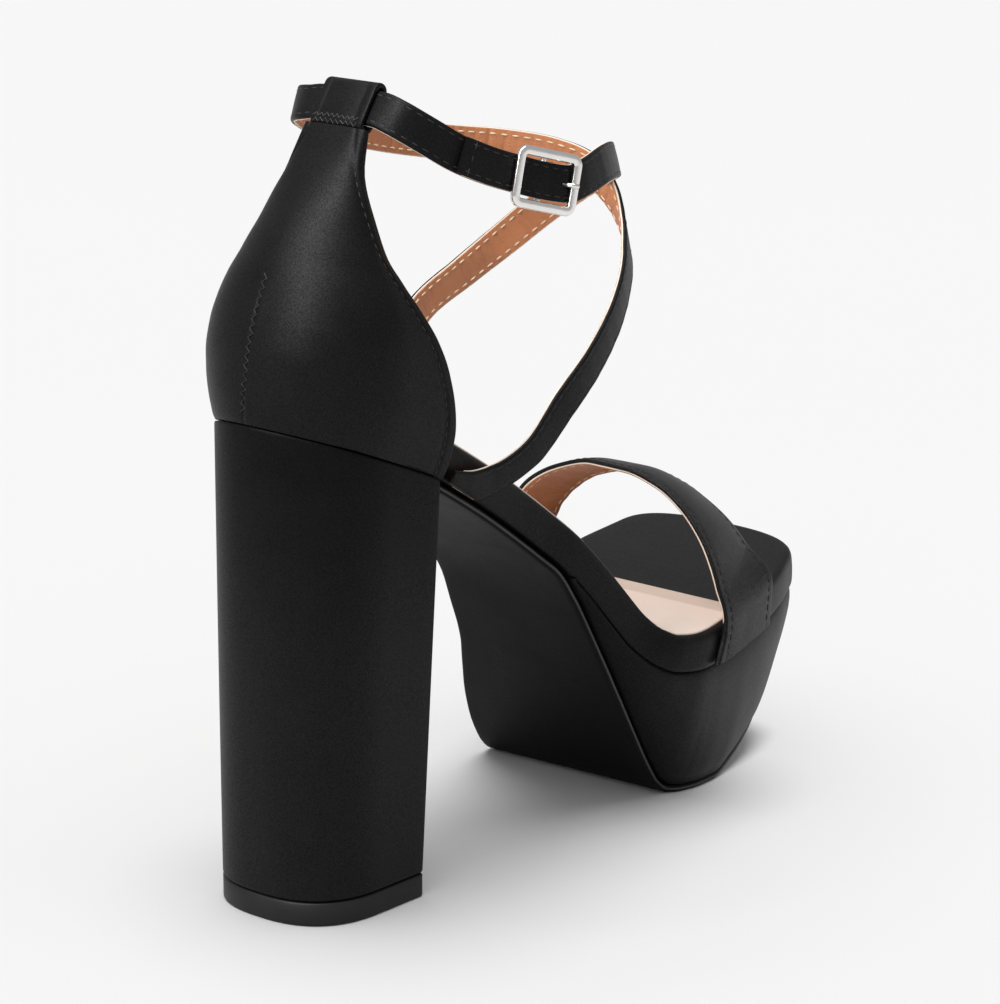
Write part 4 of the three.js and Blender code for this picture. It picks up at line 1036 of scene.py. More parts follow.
def build_counter(last):
    grid = cup_surface(last, CUP_LEVELS, CUP_ANGLES, CUP_STRAIGHTS)
    grid[0, :, 2] = last.foot(grid[0, :, 1])["z"] - 0.12 * MM
    normal = grid_normals(grid)
    # Hem along the front edge, seam down the back, and the satin turned in at the base, in mm
    to_front = np.linalg.norm(grid - grid[:, :1], axis=-1)
    to_front = np.minimum(to_front, np.linalg.norm(grid - grid[:, -1:], axis=-1))
    hem = 0.28 * (1 - smoothstep(to_front, 2.2 * MM, 3.0 * MM)) - 0.16 * bell(to_front - 3.1 * MM, 0.5 * MM)
    x = grid[..., 0] / MM
    seam_fade = 1 - smoothstep(CUP_LEVELS, 0.42, 0.58)
    seam = (-0.20 * bell(x, 0.35) + 0.10 * bell(x - 1.3, 0.9)) * seam_fade[:, None]
    base = -0.30 * bell(CUP_LEVELS, 0.012)[:, None]
    outer = grid + normal * ((hem + seam + base) * MM)[..., None]
    wall = 1.25 * MM
    inner = grid - normal * wall
    inner[0, :, 2] = grid[0, :, 2]
    piece = wall_shell("heel_cup_satin", outer, inner, satin_material(), 1.0)
    attach(piece, "satin", "heel_counter")
    # The lining stops short of every edge of the satin
    lining_outer = (grid - normal * (wall - 0.08 * MM))[4:, 2:-2]
    lining_inner = (grid - normal * 2.0 * MM)[4:, 2:-2]
    lining_inner[0, :, 2] = lining_outer[0, :, 2]
    lining = wall_shell("heel_cup_lining", lining_outer, lining_inner, lining_material(), 0.5)
    attach(lining, "sock_leather", "heel_counter")
    left_out(NO_SHADOW, piece, lining)
    build_loop(last)
    return piece


def loop_frame(last):
    s = last.size
    middle = np.array([0, 0.827 * s.counter_reach, 0.999 * s.ring_height])
    up = np.array([0, math.sin(LOOP_LEAN), math.cos(LOOP_LEAN)])
    out = np.array([0, -math.cos(LOOP_LEAN), math.sin(LOOP_LEAN)])
    return middle, up, out


def loop_path(last, grow, count=12):
    """Closed path of the loop round the strap, in its own up and out directions."""
    s = last.size
    half_length = s.strap_width / 2 + 3 * GAP + grow
    half_thick = s.strap_thick / 2 + GAP + grow
    straight = half_length - half_thick
    points = []
    for centre, start in ((straight, 0), (-straight, math.pi)):
        for k in range(count + 1):
            a = start + math.pi * k / count
            points.append((half_thick * math.cos(a), centre + half_thick * math.sin(a)))
    return np.array(points)


# Sides of the loop: how far it is drawn in, in mm, and the distance from its side, in mm
LOOP_SIDE = ((0.45, 0), (0.12, 0.12), (0, 0.45), (0, 2.2), (0.14, 2.6), (0, 3.0))
LOOP_BORE_SIDE = ((0.4, 0), (0.1, 0.12), (0, 0.45))


def loop_rings(last, profile, grow, way):
    """Closed rings from one side of the loop to the other: way is -1 for its skin and 1 for its bore."""
    middle, up, out = loop_frame(last)
    rings = []
    for draw, x in profile:
        path = loop_path(last, grow + way * draw * MM)
        path = np.concatenate([path, path[:1]])
        rings.append(middle + np.array([x, 0, 0]) + path[:, :1] * out + path[:, 1:] * up)
    return np.stack(rings)


def build_loop(last):
    s = last.size
    half = s.loop_width / 2
    rows = [[(draw, distance * MM - half) for draw, distance in side] for side in (LOOP_SIDE, LOOP_BORE_SIDE)]
    skin, bore = [side + [(draw, -x) for draw, x in side[::-1]] for side in rows]
    skin.insert(len(LOOP_SIDE), (0, 0))
    outer = loop_rings(last, skin, s.loop_wall, -1)
    inner = loop_rings(last, bore, 0.02 * MM, 1)
    sides = [np.stack([outer[j], inner[j]]) for j in (0, -1)]
    return attach(shell("heel_cup_loop", [outer, inner, *sides], satin_material()), "satin", "heel_counter")


# Toe strap

def toe_surface(last, steps, across):
    """Outer face of the toe strap: a row for each place along it, from its rear edge to its front edge."""
    s = last.size
    way = np.linspace(0, 1, steps)
    row = last.toe(way)
    scale = np.array([s.ball_half, s.sole_length, s.toe_strap_height])
    rear, front = [np.stack([row[edge + axis] for axis in "xyz"], 1) * scale for edge in "rf"]
    share = across[None, :, None]
    grid = rear[:, None] * (1 - share) + front[:, None] * share
    dome = 4 * share * (1 - share) * np.sin(math.pi * way)[:, None, None]
    return grid - grid_normals(grid) * dome * 1.2 * MM


def toe_layers(last, across, depths, steps):
    """Faces of the toe strap at several depths, kept clear of the side of the footbed."""
    s = last.size
    outer = toe_surface(last, steps, across)
    normal = -grid_normals(outer)
    inner = outer - normal * s.toe_strap_thick
    clear = 0.8 * MM
    here = last.foot(inner[..., 1])
    top = here["z"] + s.footbed_thick + clear
    short = np.where(inner[..., 0] > 0,
                     np.maximum(here["outer"] + GAP - inner[..., 0], 0),
                     np.minimum(here["inner"] - GAP - inner[..., 0], 0))
    move = short * (1 - smoothstep(inner[..., 2], top, top + 10 * MM))
    faces = []
    for depth in depths:
        face = outer - normal * depth[..., None]
        face[..., 0] += move
        face[..., 2] = np.maximum(face[..., 2], here["z"] + clear)
        faces.append(face)
    return faces


# Soft pulls that run up from the ends of the toe strap: where, along and across it, their length and their depth
TOE_PULLS = ((0.05, 0.38, 0.04, 0.07), (0.93, 0.35, 0.06, 0.20), (0.90, 0.66, 0.06, 0.16))


def build_toe_strap(last):
    s = last.size
    across = np.concatenate([[0, 0.012, 0.03, 0.055, 0.085, 0.11], np.linspace(0.15, 0.85, 16),
                             [0.89, 0.915, 0.945, 0.97, 0.988, 1]])
    steps = 150
    shape = (steps, len(across))
    way = np.linspace(0, 1, steps)[:, None]
    share = across[None, :]
    to_edge = np.minimum(share, 1 - share) * 34
    folds = np.zeros(shape)
    for at, place, span, depth in TOE_PULLS:
        folds += -depth * bell(share - place, 0.09) * bell(way - at, span)
    skin = (0.10 * bell(to_edge - 3.0, 0.55) - folds) * MM
    # Beside the footbed the satin takes nearly the whole thickness
    bare, = toe_layers(last, across, (np.zeros(shape),), steps)
    foot_top = last.foot(bare[..., 1])["z"] + s.footbed_thick
    beside = 1 - smoothstep(bare[..., 2], foot_top, foot_top + 2.5 * MM)
    parting = (1.15 + 0.62 * beside) * MM
    outer, middle = toe_layers(last, across, (skin, parting), steps)
    satin = satin_material("Satin sheen", 0.40, 0.40, 0.16, 0.6)
    piece = wall_shell("toe_strap_satin", outer, middle, satin, 1.0)
    attach(piece, "satin", "toe_strap")
    wrinkle = 0.10 * np.sin(way * 150) * bell(way - 0.86, 0.12)
    wrinkle = wrinkle + 0.06 * np.sin(way * 210 + share * 3) * bell(way - 0.12, 0.1)
    low = s.toe_strap_thick - wrinkle * MM - 0.12 * MM * beside
    a, b = toe_layers(last, across, (parting - 0.08 * MM, low), steps)
    lining = wall_shell("toe_strap_lining", a[:, 1:-1], b[:, 1:-1], crinkled_material(), 0.6)
    attach(lining, "sock_leather", "toe_strap")
    left_out(NO_SHADOW, piece, lining)
    rim, = toe_layers(last, across, (np.full(shape, 1.32 * MM),), steps)
    for number, column in ((1, 0), (2, -1)):
        seen = rim[:, column]
        over = last.foot(seen[:, 1])["z"] + s.footbed_thick + 0.8 * MM
        seen = seen[seen[:, 2] > over]
        attach(tube("toe_strap_edge_%d" % number, seen, 0.22 * MM, edge_material(), 8), "sock_leather")
    return piece


# Ankle straps

def strap_frames(last, rows, steps):
    """Middle points of a strap, with the directions along, across and out of it."""
    s = last.size
    knots = np.array([(r["x"] * s.ring_half, r["y"] * s.ring_length, r["z"] * s.ring_height) for r in rows])
    facing = np.array([(r["nx"], r["ny"], r["nz"]) for r in rows])
    spans = np.sqrt(np.linalg.norm(np.diff(knots, axis=0), axis=1))
    spline = curve_through(knots, spans, 40)
    look = curve_through(facing, np.ones(len(spans)), 40)
    run = np.concatenate([[0], np.cumsum(np.linalg.norm(np.diff(spline, axis=0), axis=1))])
    where = np.linspace(0, run[-1], steps)
    at = np.stack([np.interp(where, run, spline[:, k]) for k in range(3)], 1)
    out = np.stack([np.interp(where, run, look[:, k]) for k in range(3)], 1)
    along = np.gradient(at, axis=0)
    along /= np.linalg.norm(along, axis=1, keepdims=True)
    out -= along * np.sum(out * along, 1, keepdims=True)
    out /= np.linalg.norm(out, axis=1, keepdims=True)
    return at, along, np.cross(along, out), out, where


def curve_through(knots, spans, fine):
    """Catmull-Rom curve through points, with the given spacing of its parameter."""
    first = knots[0] * 2 - knots[1]
    final = knots[-1] * 2 - knots[-2]
    points = np.concatenate([[first], knots, [final]])
    gaps = np.concatenate([[spans[0]], spans, [spans[-1]]])
    out = []
    for i in range(len(knots) - 1):
        p0, p1, p2, p3 = points[i:i + 4]
        d0, d1, d2 = gaps[i:i + 3]
        m1 = ((p1 - p0) / d0 - (p2 - p0) / (d0 + d1) + (p2 - p1) / d1) * d1
        m2 = ((p2 - p1) / d1 - (p3 - p1) / (d1 + d2) + (p3 - p2) / d2) * d1
        t = np.linspace(0, 1, fine, endpoint=False)[:, None]
        out.append((2 * t ** 3 - 3 * t ** 2 + 1) * p1 + (t ** 3 - 2 * t ** 2 + t) * m1
                   + (-2 * t ** 3 + 3 * t ** 2) * p2 + (t ** 3 - t ** 2) * m2)
    out.append(knots[-1:])
    return np.concatenate(out)


def strap_solid(name, frames, section, material, waves):
    """Solid with one section all along a strap, its points raised by the waves."""
    at, _, wide, out, _ = frames
    lift = section[None, :, 1:] + waves[:, None, None]
    grid = at[:, None] + wide[:, None] * section[None, :, :1] + out[:, None] * lift
    return shell(name, [grid, *end_caps(grid)], material, sharp=50)


def satin_section(half, top, low):
    """Outer layer: flat face, edges turned down round the strap."""
    edge = np.array([(-half + inwards * MM, level) for inwards, level in (
        (0.1, low), (0, low + 0.15 * MM), (0, top - 0.55 * MM), (0.12, top - 0.22 * MM), (0.45, top - 0.04 * MM),
        (0.9, top), (1.25, top - 0.06 * MM), (1.6, top),
    )] + [(-half * 0.4, top + 0.04 * MM)])
    under = [(half * 0.4, low), (-half * 0.4, low), edge[0]]
    return np.concatenate([edge, [(0, top + 0.06 * MM)], edge[::-1] * np.array([-1, 1]), under])


def lining_section(half, top, low):
    edge = np.array([(half - 0.05 * MM, top), (half, top - 0.1 * MM), (half - 0.12 * MM, low + 0.05 * MM),
                     (half - 0.5 * MM, low), (half * 0.5, low)])
    mirrored = edge[::-1] * np.array([-1, 1])
    return np.concatenate([mirrored[-1:], edge, [(0, low)], mirrored])


STRAPS = (("first", FIRST, 320), ("second", SECOND, 240))


def clip_under_foot(last, piece):
    """The ends of a strap, which lie between two places along the foot, stop on the foot line."""
    for vertex in piece.data.vertices:
        y = vertex.co.y + last.size.heel_depth / 2
        if 40 * MM <= y <= 96 * MM:
            vertex.co.z = max(vertex.co.z, float(last.foot(y)["z"]) - 0.2 * MM)


def build_ankle_straps(last):
    s = last.size
    half = s.strap_width / 2
    top = s.strap_thick / 2
    pieces = []
    chance = np.random.default_rng(3)
    trim = 4
    for name, rows, steps in STRAPS:
        frames = strap_frames(last, rows, steps)
        where = frames[4] / MM
        ripple = 0.05 * np.sin(where * 0.9) * np.sin(where * 0.23 + 1.0)
        outer = strap_solid("%s_strap_satin" % name, frames, satin_section(half, top, -0.22 * top),
                            satin_material(), ripple * MM)
        attach(outer, "satin", "ankle_straps")
        # Short creases across the lining, which is drawn twice as finely and stops short of both ends
        fine = strap_frames(last, rows, 2 * steps)
        where = fine[4] / MM
        creases = np.zeros(len(where))
        at_crease = 3.0
        while at_crease < where[-1]:
            creases += chance.uniform(0.05, 0.30) * bell(where - at_crease, 0.45)
            at_crease += chance.uniform(2.4, 5.0)
        held = [part[2 * trim:-trim] for part in (*fine, creases)]
        lining = strap_solid("%s_strap_lining" % name, held[:5], lining_section(half - 0.12 * MM, -0.15 * top, -top),
                             lining_material(), held[5] * MM)
        attach(lining, "sock_leather", "ankle_straps")
        at, _, wide, out, _ = frames
        for side, sign in (("upper", 1), ("lower", -1)):
            path = at + wide * sign * (half - 0.16 * MM) - out * 0.45 * top
            bead = tube("%s_strap_%s_edge" % (name, side), path[trim:-2], 0.24 * MM, edge_material(), 6)
            attach(bead, "sock_leather")
            clip_under_foot(last, bead)
        for piece in (outer, lining):
            clip_under_foot(last, piece)
            pieces.append(piece)
    return pieces


# Buckle

def buckle_matrix(last):
    steps = 1000
    i = round(BUCKLE_SHARE * steps)
    return [part[i] for part in strap_frames(last, SECOND, steps + 1)[:4]]


def in_buckle(last, points):
    at, along, wide, out = buckle_matrix(last)
    points = np.asarray(points)
    return at + points[..., :1] * along + points[..., 1:2] * wide + points[..., 2:] * out


def frame_path(s, inset, count=10):
    corner = max(s.buckle_corner - inset, 0.4 * MM)
    centre_x = s.buckle_length / 2 - s.buckle_corner
    centre_y = s.buckle_height / 2 - s.buckle_corner
    points = []
    for sx, sy, start in ((1, 1, 0), (-1, 1, 90), (-1, -1, 180), (1, -1, 270)):
        for k in range(count + 1):
            a = math.radians(start + 90 * k / count)
            points.append((sx * centre_x + corner * math.cos(a), sy * centre_y + corner * math.sin(a)))
    return np.array(points)


def build_buckle(last):
    s = last.size
    half = s.buckle_thick / 2
    height = s.strap_thick / 2 + GAP + half
    face = s.buckle_face
    soft = 0.62 * MM
    turns = np.linspace(0, math.pi / 2, 7)
    # Section of the frame: inset from its outer edge, and height
    rounded = [(soft * (1 - math.sin(a)), half - soft * (1 - math.cos(a))) for a in turns]
    section = rounded[::-1] + [(face * 0.5, half + 0.06 * MM)]
    section += [(face - inset, level) for inset, level in rounded]
    section += [(face, -half + 0.3 * MM), (face - 0.3 * MM, -half), (0.3 * MM, -half), (0, -half + 0.3 * MM)]
    rings = []
    for inset, level in section:
        path = frame_path(s, inset)
        rings.append(np.concatenate([path, np.full((len(path), 1), height + level)], 1))
    grid = np.stack(rings + rings[:1])
    grid = np.concatenate([grid, grid[:, :1]], 1)
    metal = metal_material()
    piece = shell("buckle_frame_polished", [in_buckle(last, grid)], metal, sharp=55)
    attach(piece, "polished_metal", "buckle_frame")
    # Centre bar, bent up at both ends to the frame
    side = (s.buckle_height - face) / 2
    low = -s.strap_thick / 2
    arm = [(0, -side, height - 0.2 * MM), (0, -side, low + 0.9 * MM), (0, -side + 0.25 * MM, low + 0.25 * MM),
           (0, -side + 0.9 * MM, low)]
    path = arm + [(0, 0, low)] + [(0, -y, z) for _, y, z in arm[::-1]]
    bar = tube("buckle_bar_polished", in_buckle(last, np.array(path)), s.bar_radius * 0.96, metal, 14)
    attach(bar, "polished_metal", "buckle_frame")
    prong = 0.6 * MM
    eye = s.bar_radius + GAP + prong
    top = height + half + GAP + prong
    front = -(s.buckle_length - face) / 2 + face / 2
    # The eye is flattened where the strap covers it
    hook = [(-eye * math.sin(a), 0, low + eye * math.cos(a) * (0.5 if math.cos(a) > 0 else 1))
            for a in np.linspace(-5.2, 0.1, 10)]
    knots = np.array(hook + [(way * front, 0, rise * top) for way, rise in PRONG])
    path = curve_through(knots, np.ones(len(knots) - 1), 8)
    pin = tube("buckle_prong_polished", in_buckle(last, path), prong, metal, 14)
    attach(pin, "polished_metal", "buckle_prong")
    return piece


# Stitches

@cache
def stitch_tree():
    """Geometry Nodes: small threads laid end to end along every path."""
    tree, inside, out = new_group(
        "Stitch rows", 'GeometryNodeTree',
        (("Paths", 'NodeSocketGeometry', None), ("Pitch", 'NodeSocketFloat', 0.003),
         ("Length", 'NodeSocketFloat', 0.002), ("Thread", 'NodeSocketFloat', 0.00045),
         ("Material", 'NodeSocketMaterial', None)),
        (("Stitches", 'NodeSocketGeometry'),),
    )
    given = inside.outputs
    curves = add_node(tree, 'GeometryNodeMeshToCurve', {'Mesh': given['Paths']})
    even = add_node(tree, 'GeometryNodeResampleCurve', {'Curve': curves.outputs['Curve'], 'Length': given['Pitch']},
                    mode='LENGTH')
    thread = add_node(tree, 'GeometryNodeMeshUVSphere', {'Segments': 8, 'Rings': 6, 'Radius': 0.5})
    tangent = add_node(tree, 'GeometryNodeInputTangent')
    turn = add_node(tree, 'FunctionNodeAlignRotationToVector', {'Vector': tangent.outputs['Tangent']}, axis='X')
    size = add_node(tree, 'ShaderNodeCombineXYZ', {'X': given['Length'], 'Y': given['Thread'], 'Z': given['Thread']})
    laid = add_node(tree, 'GeometryNodeInstanceOnPoints', {
        'Points': even.outputs['Curve'], 'Instance': thread.outputs['Mesh'],
        'Rotation': turn.outputs['Rotation'], 'Scale': size.outputs['Vector'],
    })
    real = add_node(tree, 'GeometryNodeRealizeInstances', {'Geometry': laid.outputs['Instances']})
    paint = add_node(tree, 'GeometryNodeSetMaterial', {
        'Geometry': real.outputs['Geometry'], 'Material': given['Material'],
    })
    feed(tree, out, {'Stitches': paint.outputs['Geometry']})
    return tree


def stitch_rows(name, paths, material, slot, pitch=None, stitch=None, thread=None):
    """One joined mesh of stitches along a list of paths in the shoe's own lines."""
    s = bpy.context.scene.sandal_sizes
    points = []
    edges = []
    for path in paths:
        start = len(points)
        points.extend(placed(path))
        edges.extend((start + k, start + k + 1) for k in range(len(path) - 1))
    mesh = bpy.data.meshes.new(name)
    mesh.from_pydata([tuple(p) for p in points], edges, [])
    piece = new_object(name, mesh)
    tree = stitch_tree()
    modifier = piece.modifiers.new("Stitches", 'NODES')
    modifier.node_group = tree
    values = {
        "Pitch": pitch or s.stitch_pitch, "Length": stitch or s.stitch_length,
        "Thread": thread or s.thread, "Material": material,
    }
    for item in tree.interface.items_tree:
        if item.item_type == 'SOCKET' and item.in_out == 'INPUT' and item.name in values:
            modifier[item.identifier] = values[item.name]
    graph = bpy.context.evaluated_depsgraph_get()
    done = bpy.data.meshes.new_from_object(piece.evaluated_get(graph))
    piece.modifiers.remove(modifier)
    piece.data = done
    done.name = name
    if not done.materials:
        done.materials.append(material)
    for polygon in done.polygons:
        polygon.use_smooth = True
    return attach(piece, slot)


def stitch_ankle_straps(last, dark, light):
    """Along both edges of each strap, outside and inside, and across the free end."""
    half = last.size.strap_width / 2
    top = last.size.strap_thick / 2
    outside = []
    inside = []
    for _, rows, steps in STRAPS:
        at, _, wide, out, _ = strap_frames(last, rows, steps)
        end = -4 if rows is FIRST else -3
        for sign in (1, -1):
            for paths, inwards, lift in ((outside, 1.25 * MM, top - 0.10 * MM), (inside, 1.5 * MM, -top + 0.04 * MM)):
                path = at + wide * (sign * (half - inwards)) + out * lift
                paths.append(path[14:end])
    # The free end is the second strap's
    outside.append(np.array([at[-4] + wide[-4] * x + out[-4] * (top - 0.04 * MM)
                             for x in np.linspace(-half + 1.4 * MM, half - 1.4 * MM, 12)]))
    stitch_rows("strap_stitches_dark", outside, dark, "satin", thread=0.36 * MM)
    stitch_rows("strap_stitches_light", inside, light, "sock_leather", thread=0.5 * MM)


def stitch_heel_cup(last, dark, chance):
    """Along both front edges, with one zigzag thread over the seam at the back."""
    inwards = 3.1 * MM
    levels = np.linspace(0.02, 0.93, 90)
    grid = cup_surface(last, levels, CUP_ANGLES, np.linspace(0, 0.95, 30))
    normal = grid_normals(grid)
    rows = []
    for edge, step in ((0, 1), (grid.shape[1] - 1, -1)):
        path = []
        for j in range(len(levels)):
            run = 0.0
            k = edge
            here = grid[j, k]
            while run < inwards:
                span = np.linalg.norm(grid[j, k + step] - grid[j, k])
                if run + span >= inwards:
                    here = grid[j, k] + (grid[j, k + step] - grid[j, k]) * (inwards - run) / span
                    break
                run += span
                k += step
            path.append(here + normal[j, k] * -0.08 * MM)
        rows.append(np.array(path))
    stitch_rows("heel_cup_stitches", rows, dark, "satin", pitch=2.6 * MM, stitch=1.8 * MM, thread=0.36 * MM)
    middle = grid.shape[1] // 2
    back = grid[:, middle]
    out_of = normal[:, middle]
    run = np.concatenate([[0], np.cumsum(np.linalg.norm(np.diff(back, axis=0), axis=1))])
    zigzag = []
    for j, place in enumerate(np.arange(1.5 * MM, 37 * MM, 1.15 * MM)):
        here, face = [np.array([np.interp(place, run, line[:, k]) for k in range(3)]) for line in (back, out_of)]
        here[0] += ((0.7 if j % 2 else -0.7) + chance.uniform(-0.12, 0.12)) * MM
        zigzag.append(here + face * -0.02 * MM)
    attach(tube("heel_cup_zigzag", np.array(zigzag), 0.16 * MM, dark, 6), "satin")


def stitch_loop(last, chance):
    """Two zigzag threads across the base of the loop."""
    s = last.size
    centre, up, out = loop_frame(last)
    half = s.loop_width / 2 - 0.9 * MM
    thick = s.strap_thick / 2 + GAP + s.loop_wall
    straight = s.strap_width / 2 + 3 * GAP + s.loop_wall - thick
    thread = thread_material("Loop thread", (0.03, 0.03, 0.032))
    for number, level in ((1, -4.1), (2, -5.5)):
        zigzag = []
        for j, x in enumerate(np.arange(-half, half, 0.85 * MM)):
            rise = (level + (0.42 if j % 2 else -0.42) + chance.uniform(-0.12, 0.12)) * MM
            past = max(-rise - straight, 0)
            face = math.sqrt(max(thick ** 2 - past ** 2, 0))
            place = centre + np.array([x + chance.uniform(-0.1, 0.1) * MM, 0, 0])
            zigzag.append(place + up * rise + out * (face - 0.02 * MM))
        attach(tube("loop_zigzag_%d" % number, np.array(zigzag), 0.15 * MM, thread, 6), "satin")


def stitch_toe_strap(last, dark, light):
    """Inside its rear edge and its front edge, on the satin and on the lining."""
    across = np.array([0.0, 0.085, 0.5, 0.915, 1.0])
    steps = 200
    shape = (steps, len(across))
    depths = (np.full(shape, 0.03 * MM), np.full(shape, last.size.toe_strap_thick))
    skin, low = toe_layers(last, across, depths, steps)
    stitch_rows("toe_strap_stitches_dark", [skin[6:-6, k] for k in (1, 3)], dark, "satin", pitch=2.6 * MM,
                stitch=1.8 * MM, thread=0.28 * MM)
    stitch_rows("toe_strap_stitches_light", [low[10:-10, k] for k in (1, 3)], light, "sock_leather", thread=0.45 * MM)


def build_stitching(last):
    dark = thread_material("Dark thread", tint("thread_dark"))
    light = thread_material("Light thread", tint("thread_light"))
    chance = np.random.default_rng(7)
    stitch_ankle_straps(last, dark, light)
    stitch_heel_cup(last, dark, chance)
    stitch_loop(last, chance)
    stitch_toe_strap(last, dark, light)


# Stage

# Brightness of the room, of the light overhead and of the soft box
WORLD = 0.43
OVERHEAD = 2.0
SOFT_BOX = 16.0

# Camera of the photo: its place, how it is turned, and its focal length as a share of the sensor
EYE = (0.6238, -0.6649, 0.3510)
AZIMUTH, PITCH, ROLL = 0.755, 0.249, -0.01
FOCAL = 3.429

# The one shoe is drawn this much larger than in its pair, and the camera turned on the spot to its middle
CLOSER = 1.1
TURN_RIGHT, TURN_DOWN = 0.0531, 0.0146


def build_floor():
    mesh = bpy.data.meshes.new("studio_floor")
    half = 12.0
    mesh.from_pydata([(-half, -half, 0), (half, -half, 0), (half, half, 0), (-half, half, 0)], [], [(0, 1, 2, 3)])
    material, tree, shader, vector = new_material("Studio floor")
    feed(tree, shader, {
        'Base Color': shade(tree, noise_node(tree, vector, 3.0, 2.0), tint("floor"), 0.995, 1.0),
        'Roughness': 0.75, 'Specular IOR Level': 0.2,
    })
    mesh.materials.append(material)
    floor = new_object("studio_floor", mesh)
    return floor


def build_stage():
    floor = build_floor()
    world = bpy.data.worlds.new("Studio")
    bpy.context.scene.world = world
    world.use_nodes = True
    feed(world.node_tree, world.node_tree.nodes['Background'], {'Color': (1, 1, 1, 1), 'Strength': WORLD})
    sun = bpy.data.lights.new("overhead", 'SUN')
    sun.energy = OVERHEAD
    sun.angle = math.radians(46)
    lamp = new_object("overhead", sun)
    lamp.rotation_euler = Vector((-0.07, -0.07, 1)).to_track_quat('Z', 'Y').to_euler()
    lamp.light_linking.blocker_collection = left_out(NO_SHADOW)
    # A tall soft box behind the heel gives its sheen, and leaves the floor alone
    box = bpy.data.lights.new("soft_box", 'AREA')
    box.shape = 'RECTANGLE'
    box.size, box.size_y = 0.46, 1.60
    box.energy = SOFT_BOX * math.pi * box.size * box.size_y
    lamp = new_object("soft_box", box)
    aim = Vector((-0.045, -0.66, 0.75)).normalized()
    lamp.location = Vector((0, 0, 0.17)) + aim * 1.6
    lamp.rotation_euler = aim.to_track_quat('Z', 'Y').to_euler()
    lamp.light_linking.receiver_collection = left_out("Not lit by the soft box", floor)


def build_camera():
    forward = Vector((-math.sin(AZIMUTH) * math.cos(PITCH), math.cos(AZIMUTH) * math.cos(PITCH), -math.sin(PITCH)))
    level = Vector((math.cos(AZIMUTH), math.sin(AZIMUTH), 0))
    plumb = -level.cross(forward)
    right = level * math.cos(ROLL) - plumb * math.sin(ROLL)
    down = level * math.sin(ROLL) + plumb * math.cos(ROLL)
    look = (forward + right * TURN_RIGHT + down * TURN_DOWN).normalized()
    side = (right - look * right.dot(look)).normalized()
    data = bpy.data.cameras.new("photo_view")
    data.sensor_fit = 'HORIZONTAL'
    data.sensor_width = 36.0
    data.lens = FOCAL * data.sensor_width * CLOSER
    data.clip_end = 60
    camera = new_object("photo_view", data)
    camera.matrix_world = Matrix.Translation(EYE) @ Matrix((side, side.cross(look), -look)).transposed().to_4x4()
    bpy.context.scene.camera = camera
    bpy.context.scene.view_settings.view_transform = 'Standard'


# Operators and panel

class SANDAL_OT_stage(bpy.types.Operator):
    """Set the floor, the studio light and the camera"""
    bl_idname = "sandal.stage"
    bl_label = "Stage"

    def execute(self, context):
        build_camera()
        build_stage()
        return {'FINISHED'}


class SANDAL_OT_sole(bpy.types.Operator):
    """Make the platform, the outsole and the painted highlight along its edge"""
    bl_idname = "sandal.sole"
    bl_label = "Platform and outsole"

    def execute(self, context):
        last = shoe_last()
        build_platform(last)
        build_outsole(last)
        return {'FINISHED'}


class SANDAL_OT_footbed(bpy.types.Operator):
    """Make the footbed and the insole sock"""
    bl_idname = "sandal.footbed"
    bl_label = "Footbed and sock"

    def execute(self, context):
        last = shoe_last()
        build_footbed(last)
        build_sock(last)
        return {'FINISHED'}


class SANDAL_OT_heel(bpy.types.Operator):
    """Make the block heel and its rubber lift"""
    bl_idname = "sandal.heel"
    bl_label = "Heel and lift"

    def execute(self, context):
        last = shoe_last()
        build_heel(last)
        build_lift(last)
        return {'FINISHED'}


class SANDAL_OT_counter(bpy.types.Operator):
    """Make the heel cup, its lining and its loop"""
    bl_idname = "sandal.counter"
    bl_label = "Heel cup"

    def execute(self, context):
        build_counter(shoe_last())
        return {'FINISHED'}


class SANDAL_OT_toe_strap(bpy.types.Operator):
    """Make the band over the toes with its lining"""
    bl_idname = "sandal.toe_strap"
    bl_label = "Toe strap"

    def execute(self, context):
        build_toe_strap(shoe_last())
        return {'FINISHED'}


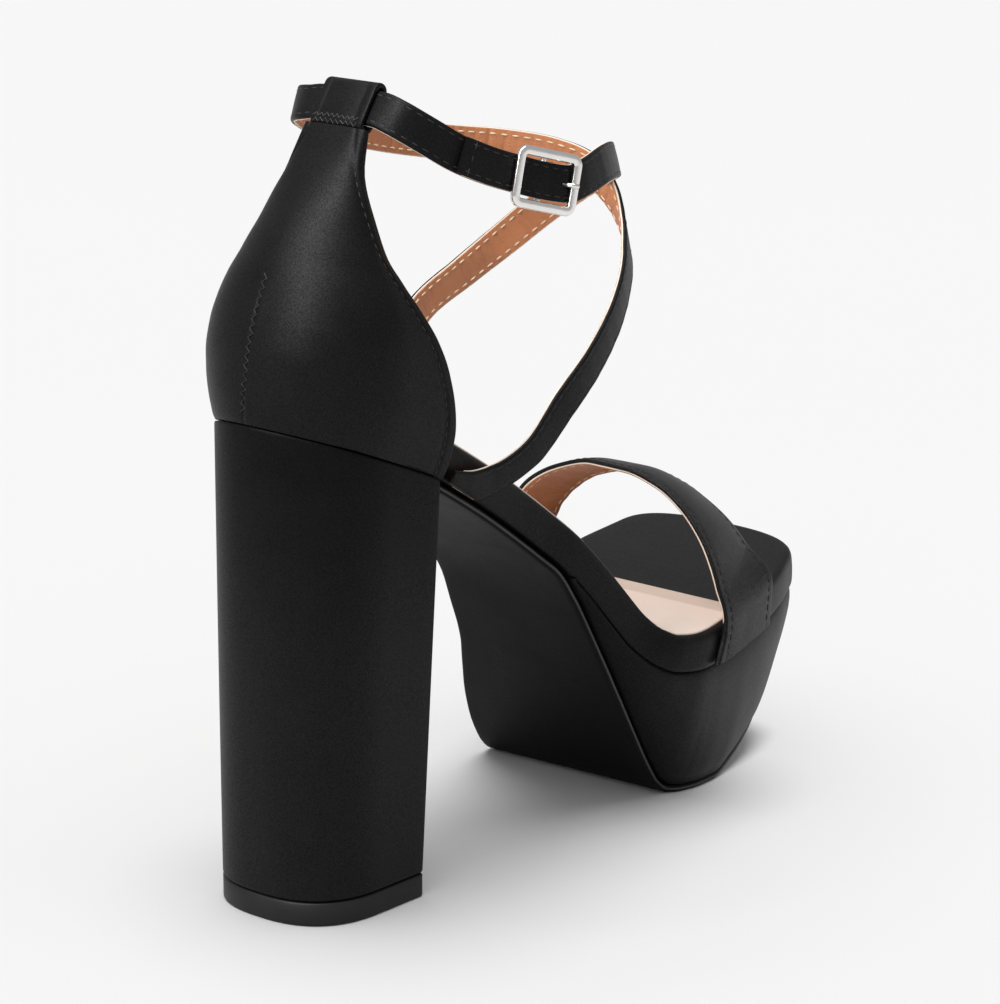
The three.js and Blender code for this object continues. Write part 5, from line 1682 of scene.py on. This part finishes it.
class SANDAL_OT_ankle_straps(bpy.types.Operator):
    """Make the two crossed ankle straps with their linings"""
    bl_idname = "sandal.ankle_straps"
    bl_label = "Ankle straps"

    def execute(self, context):
        build_ankle_straps(shoe_last())
        return {'FINISHED'}


class SANDAL_OT_buckle(bpy.types.Operator):
    """Make the buckle frame, its bar and its prong"""
    bl_idname = "sandal.buckle"
    bl_label = "Buckle"

    def execute(self, context):
        build_buckle(shoe_last())
        return {'FINISHED'}


class SANDAL_OT_stitching(bpy.types.Operator):
    """Lay the rows of stitches"""
    bl_idname = "sandal.stitching"
    bl_label = "Stitching"

    def execute(self, context):
        build_stitching(shoe_last())
        return {'FINISHED'}


class SANDAL_PT_panel(bpy.types.Panel):
    bl_label = "Platform sandal"
    bl_idname = "SANDAL_PT_panel"
    bl_space_type = 'VIEW_3D'
    bl_region_type = 'UI'
    bl_category = "Sandal"

    def draw(self, context):
        layout = self.layout
        for step in STEPS:
            layout.operator(step.bl_idname)
        for group in (context.scene.sandal_sizes, context.scene.sandal_finish):
            box = layout.box()
            for name in group.__annotations__:
                box.prop(group, name)


STEPS = (
    SANDAL_OT_stage, SANDAL_OT_sole, SANDAL_OT_footbed, SANDAL_OT_heel, SANDAL_OT_counter, SANDAL_OT_toe_strap,
    SANDAL_OT_ankle_straps, SANDAL_OT_buckle, SANDAL_OT_stitching,
)
CLASSES = (SandalSizes, SandalFinish, *STEPS, SANDAL_PT_panel)


def register():
    for cls in CLASSES:
        bpy.utils.register_class(cls)
    bpy.types.Scene.sandal_sizes = bpy.props.PointerProperty(type=SandalSizes)
    bpy.types.Scene.sandal_finish = bpy.props.PointerProperty(type=SandalFinish)


def unregister():
    del bpy.types.Scene.sandal_finish
    del bpy.types.Scene.sandal_sizes
    for cls in reversed(CLASSES):
        bpy.utils.unregister_class(cls)


def main():
    register()
    bpy.ops.sandal.stage()
    bpy.ops.sandal.sole()
    bpy.ops.sandal.footbed()
    bpy.ops.sandal.heel()
    bpy.ops.sandal.counter()
    bpy.ops.sandal.toe_strap()
    bpy.ops.sandal.ankle_straps()
    bpy.ops.sandal.buckle()
    bpy.ops.sandal.stitching()


if __name__ == "__main__":
    main()
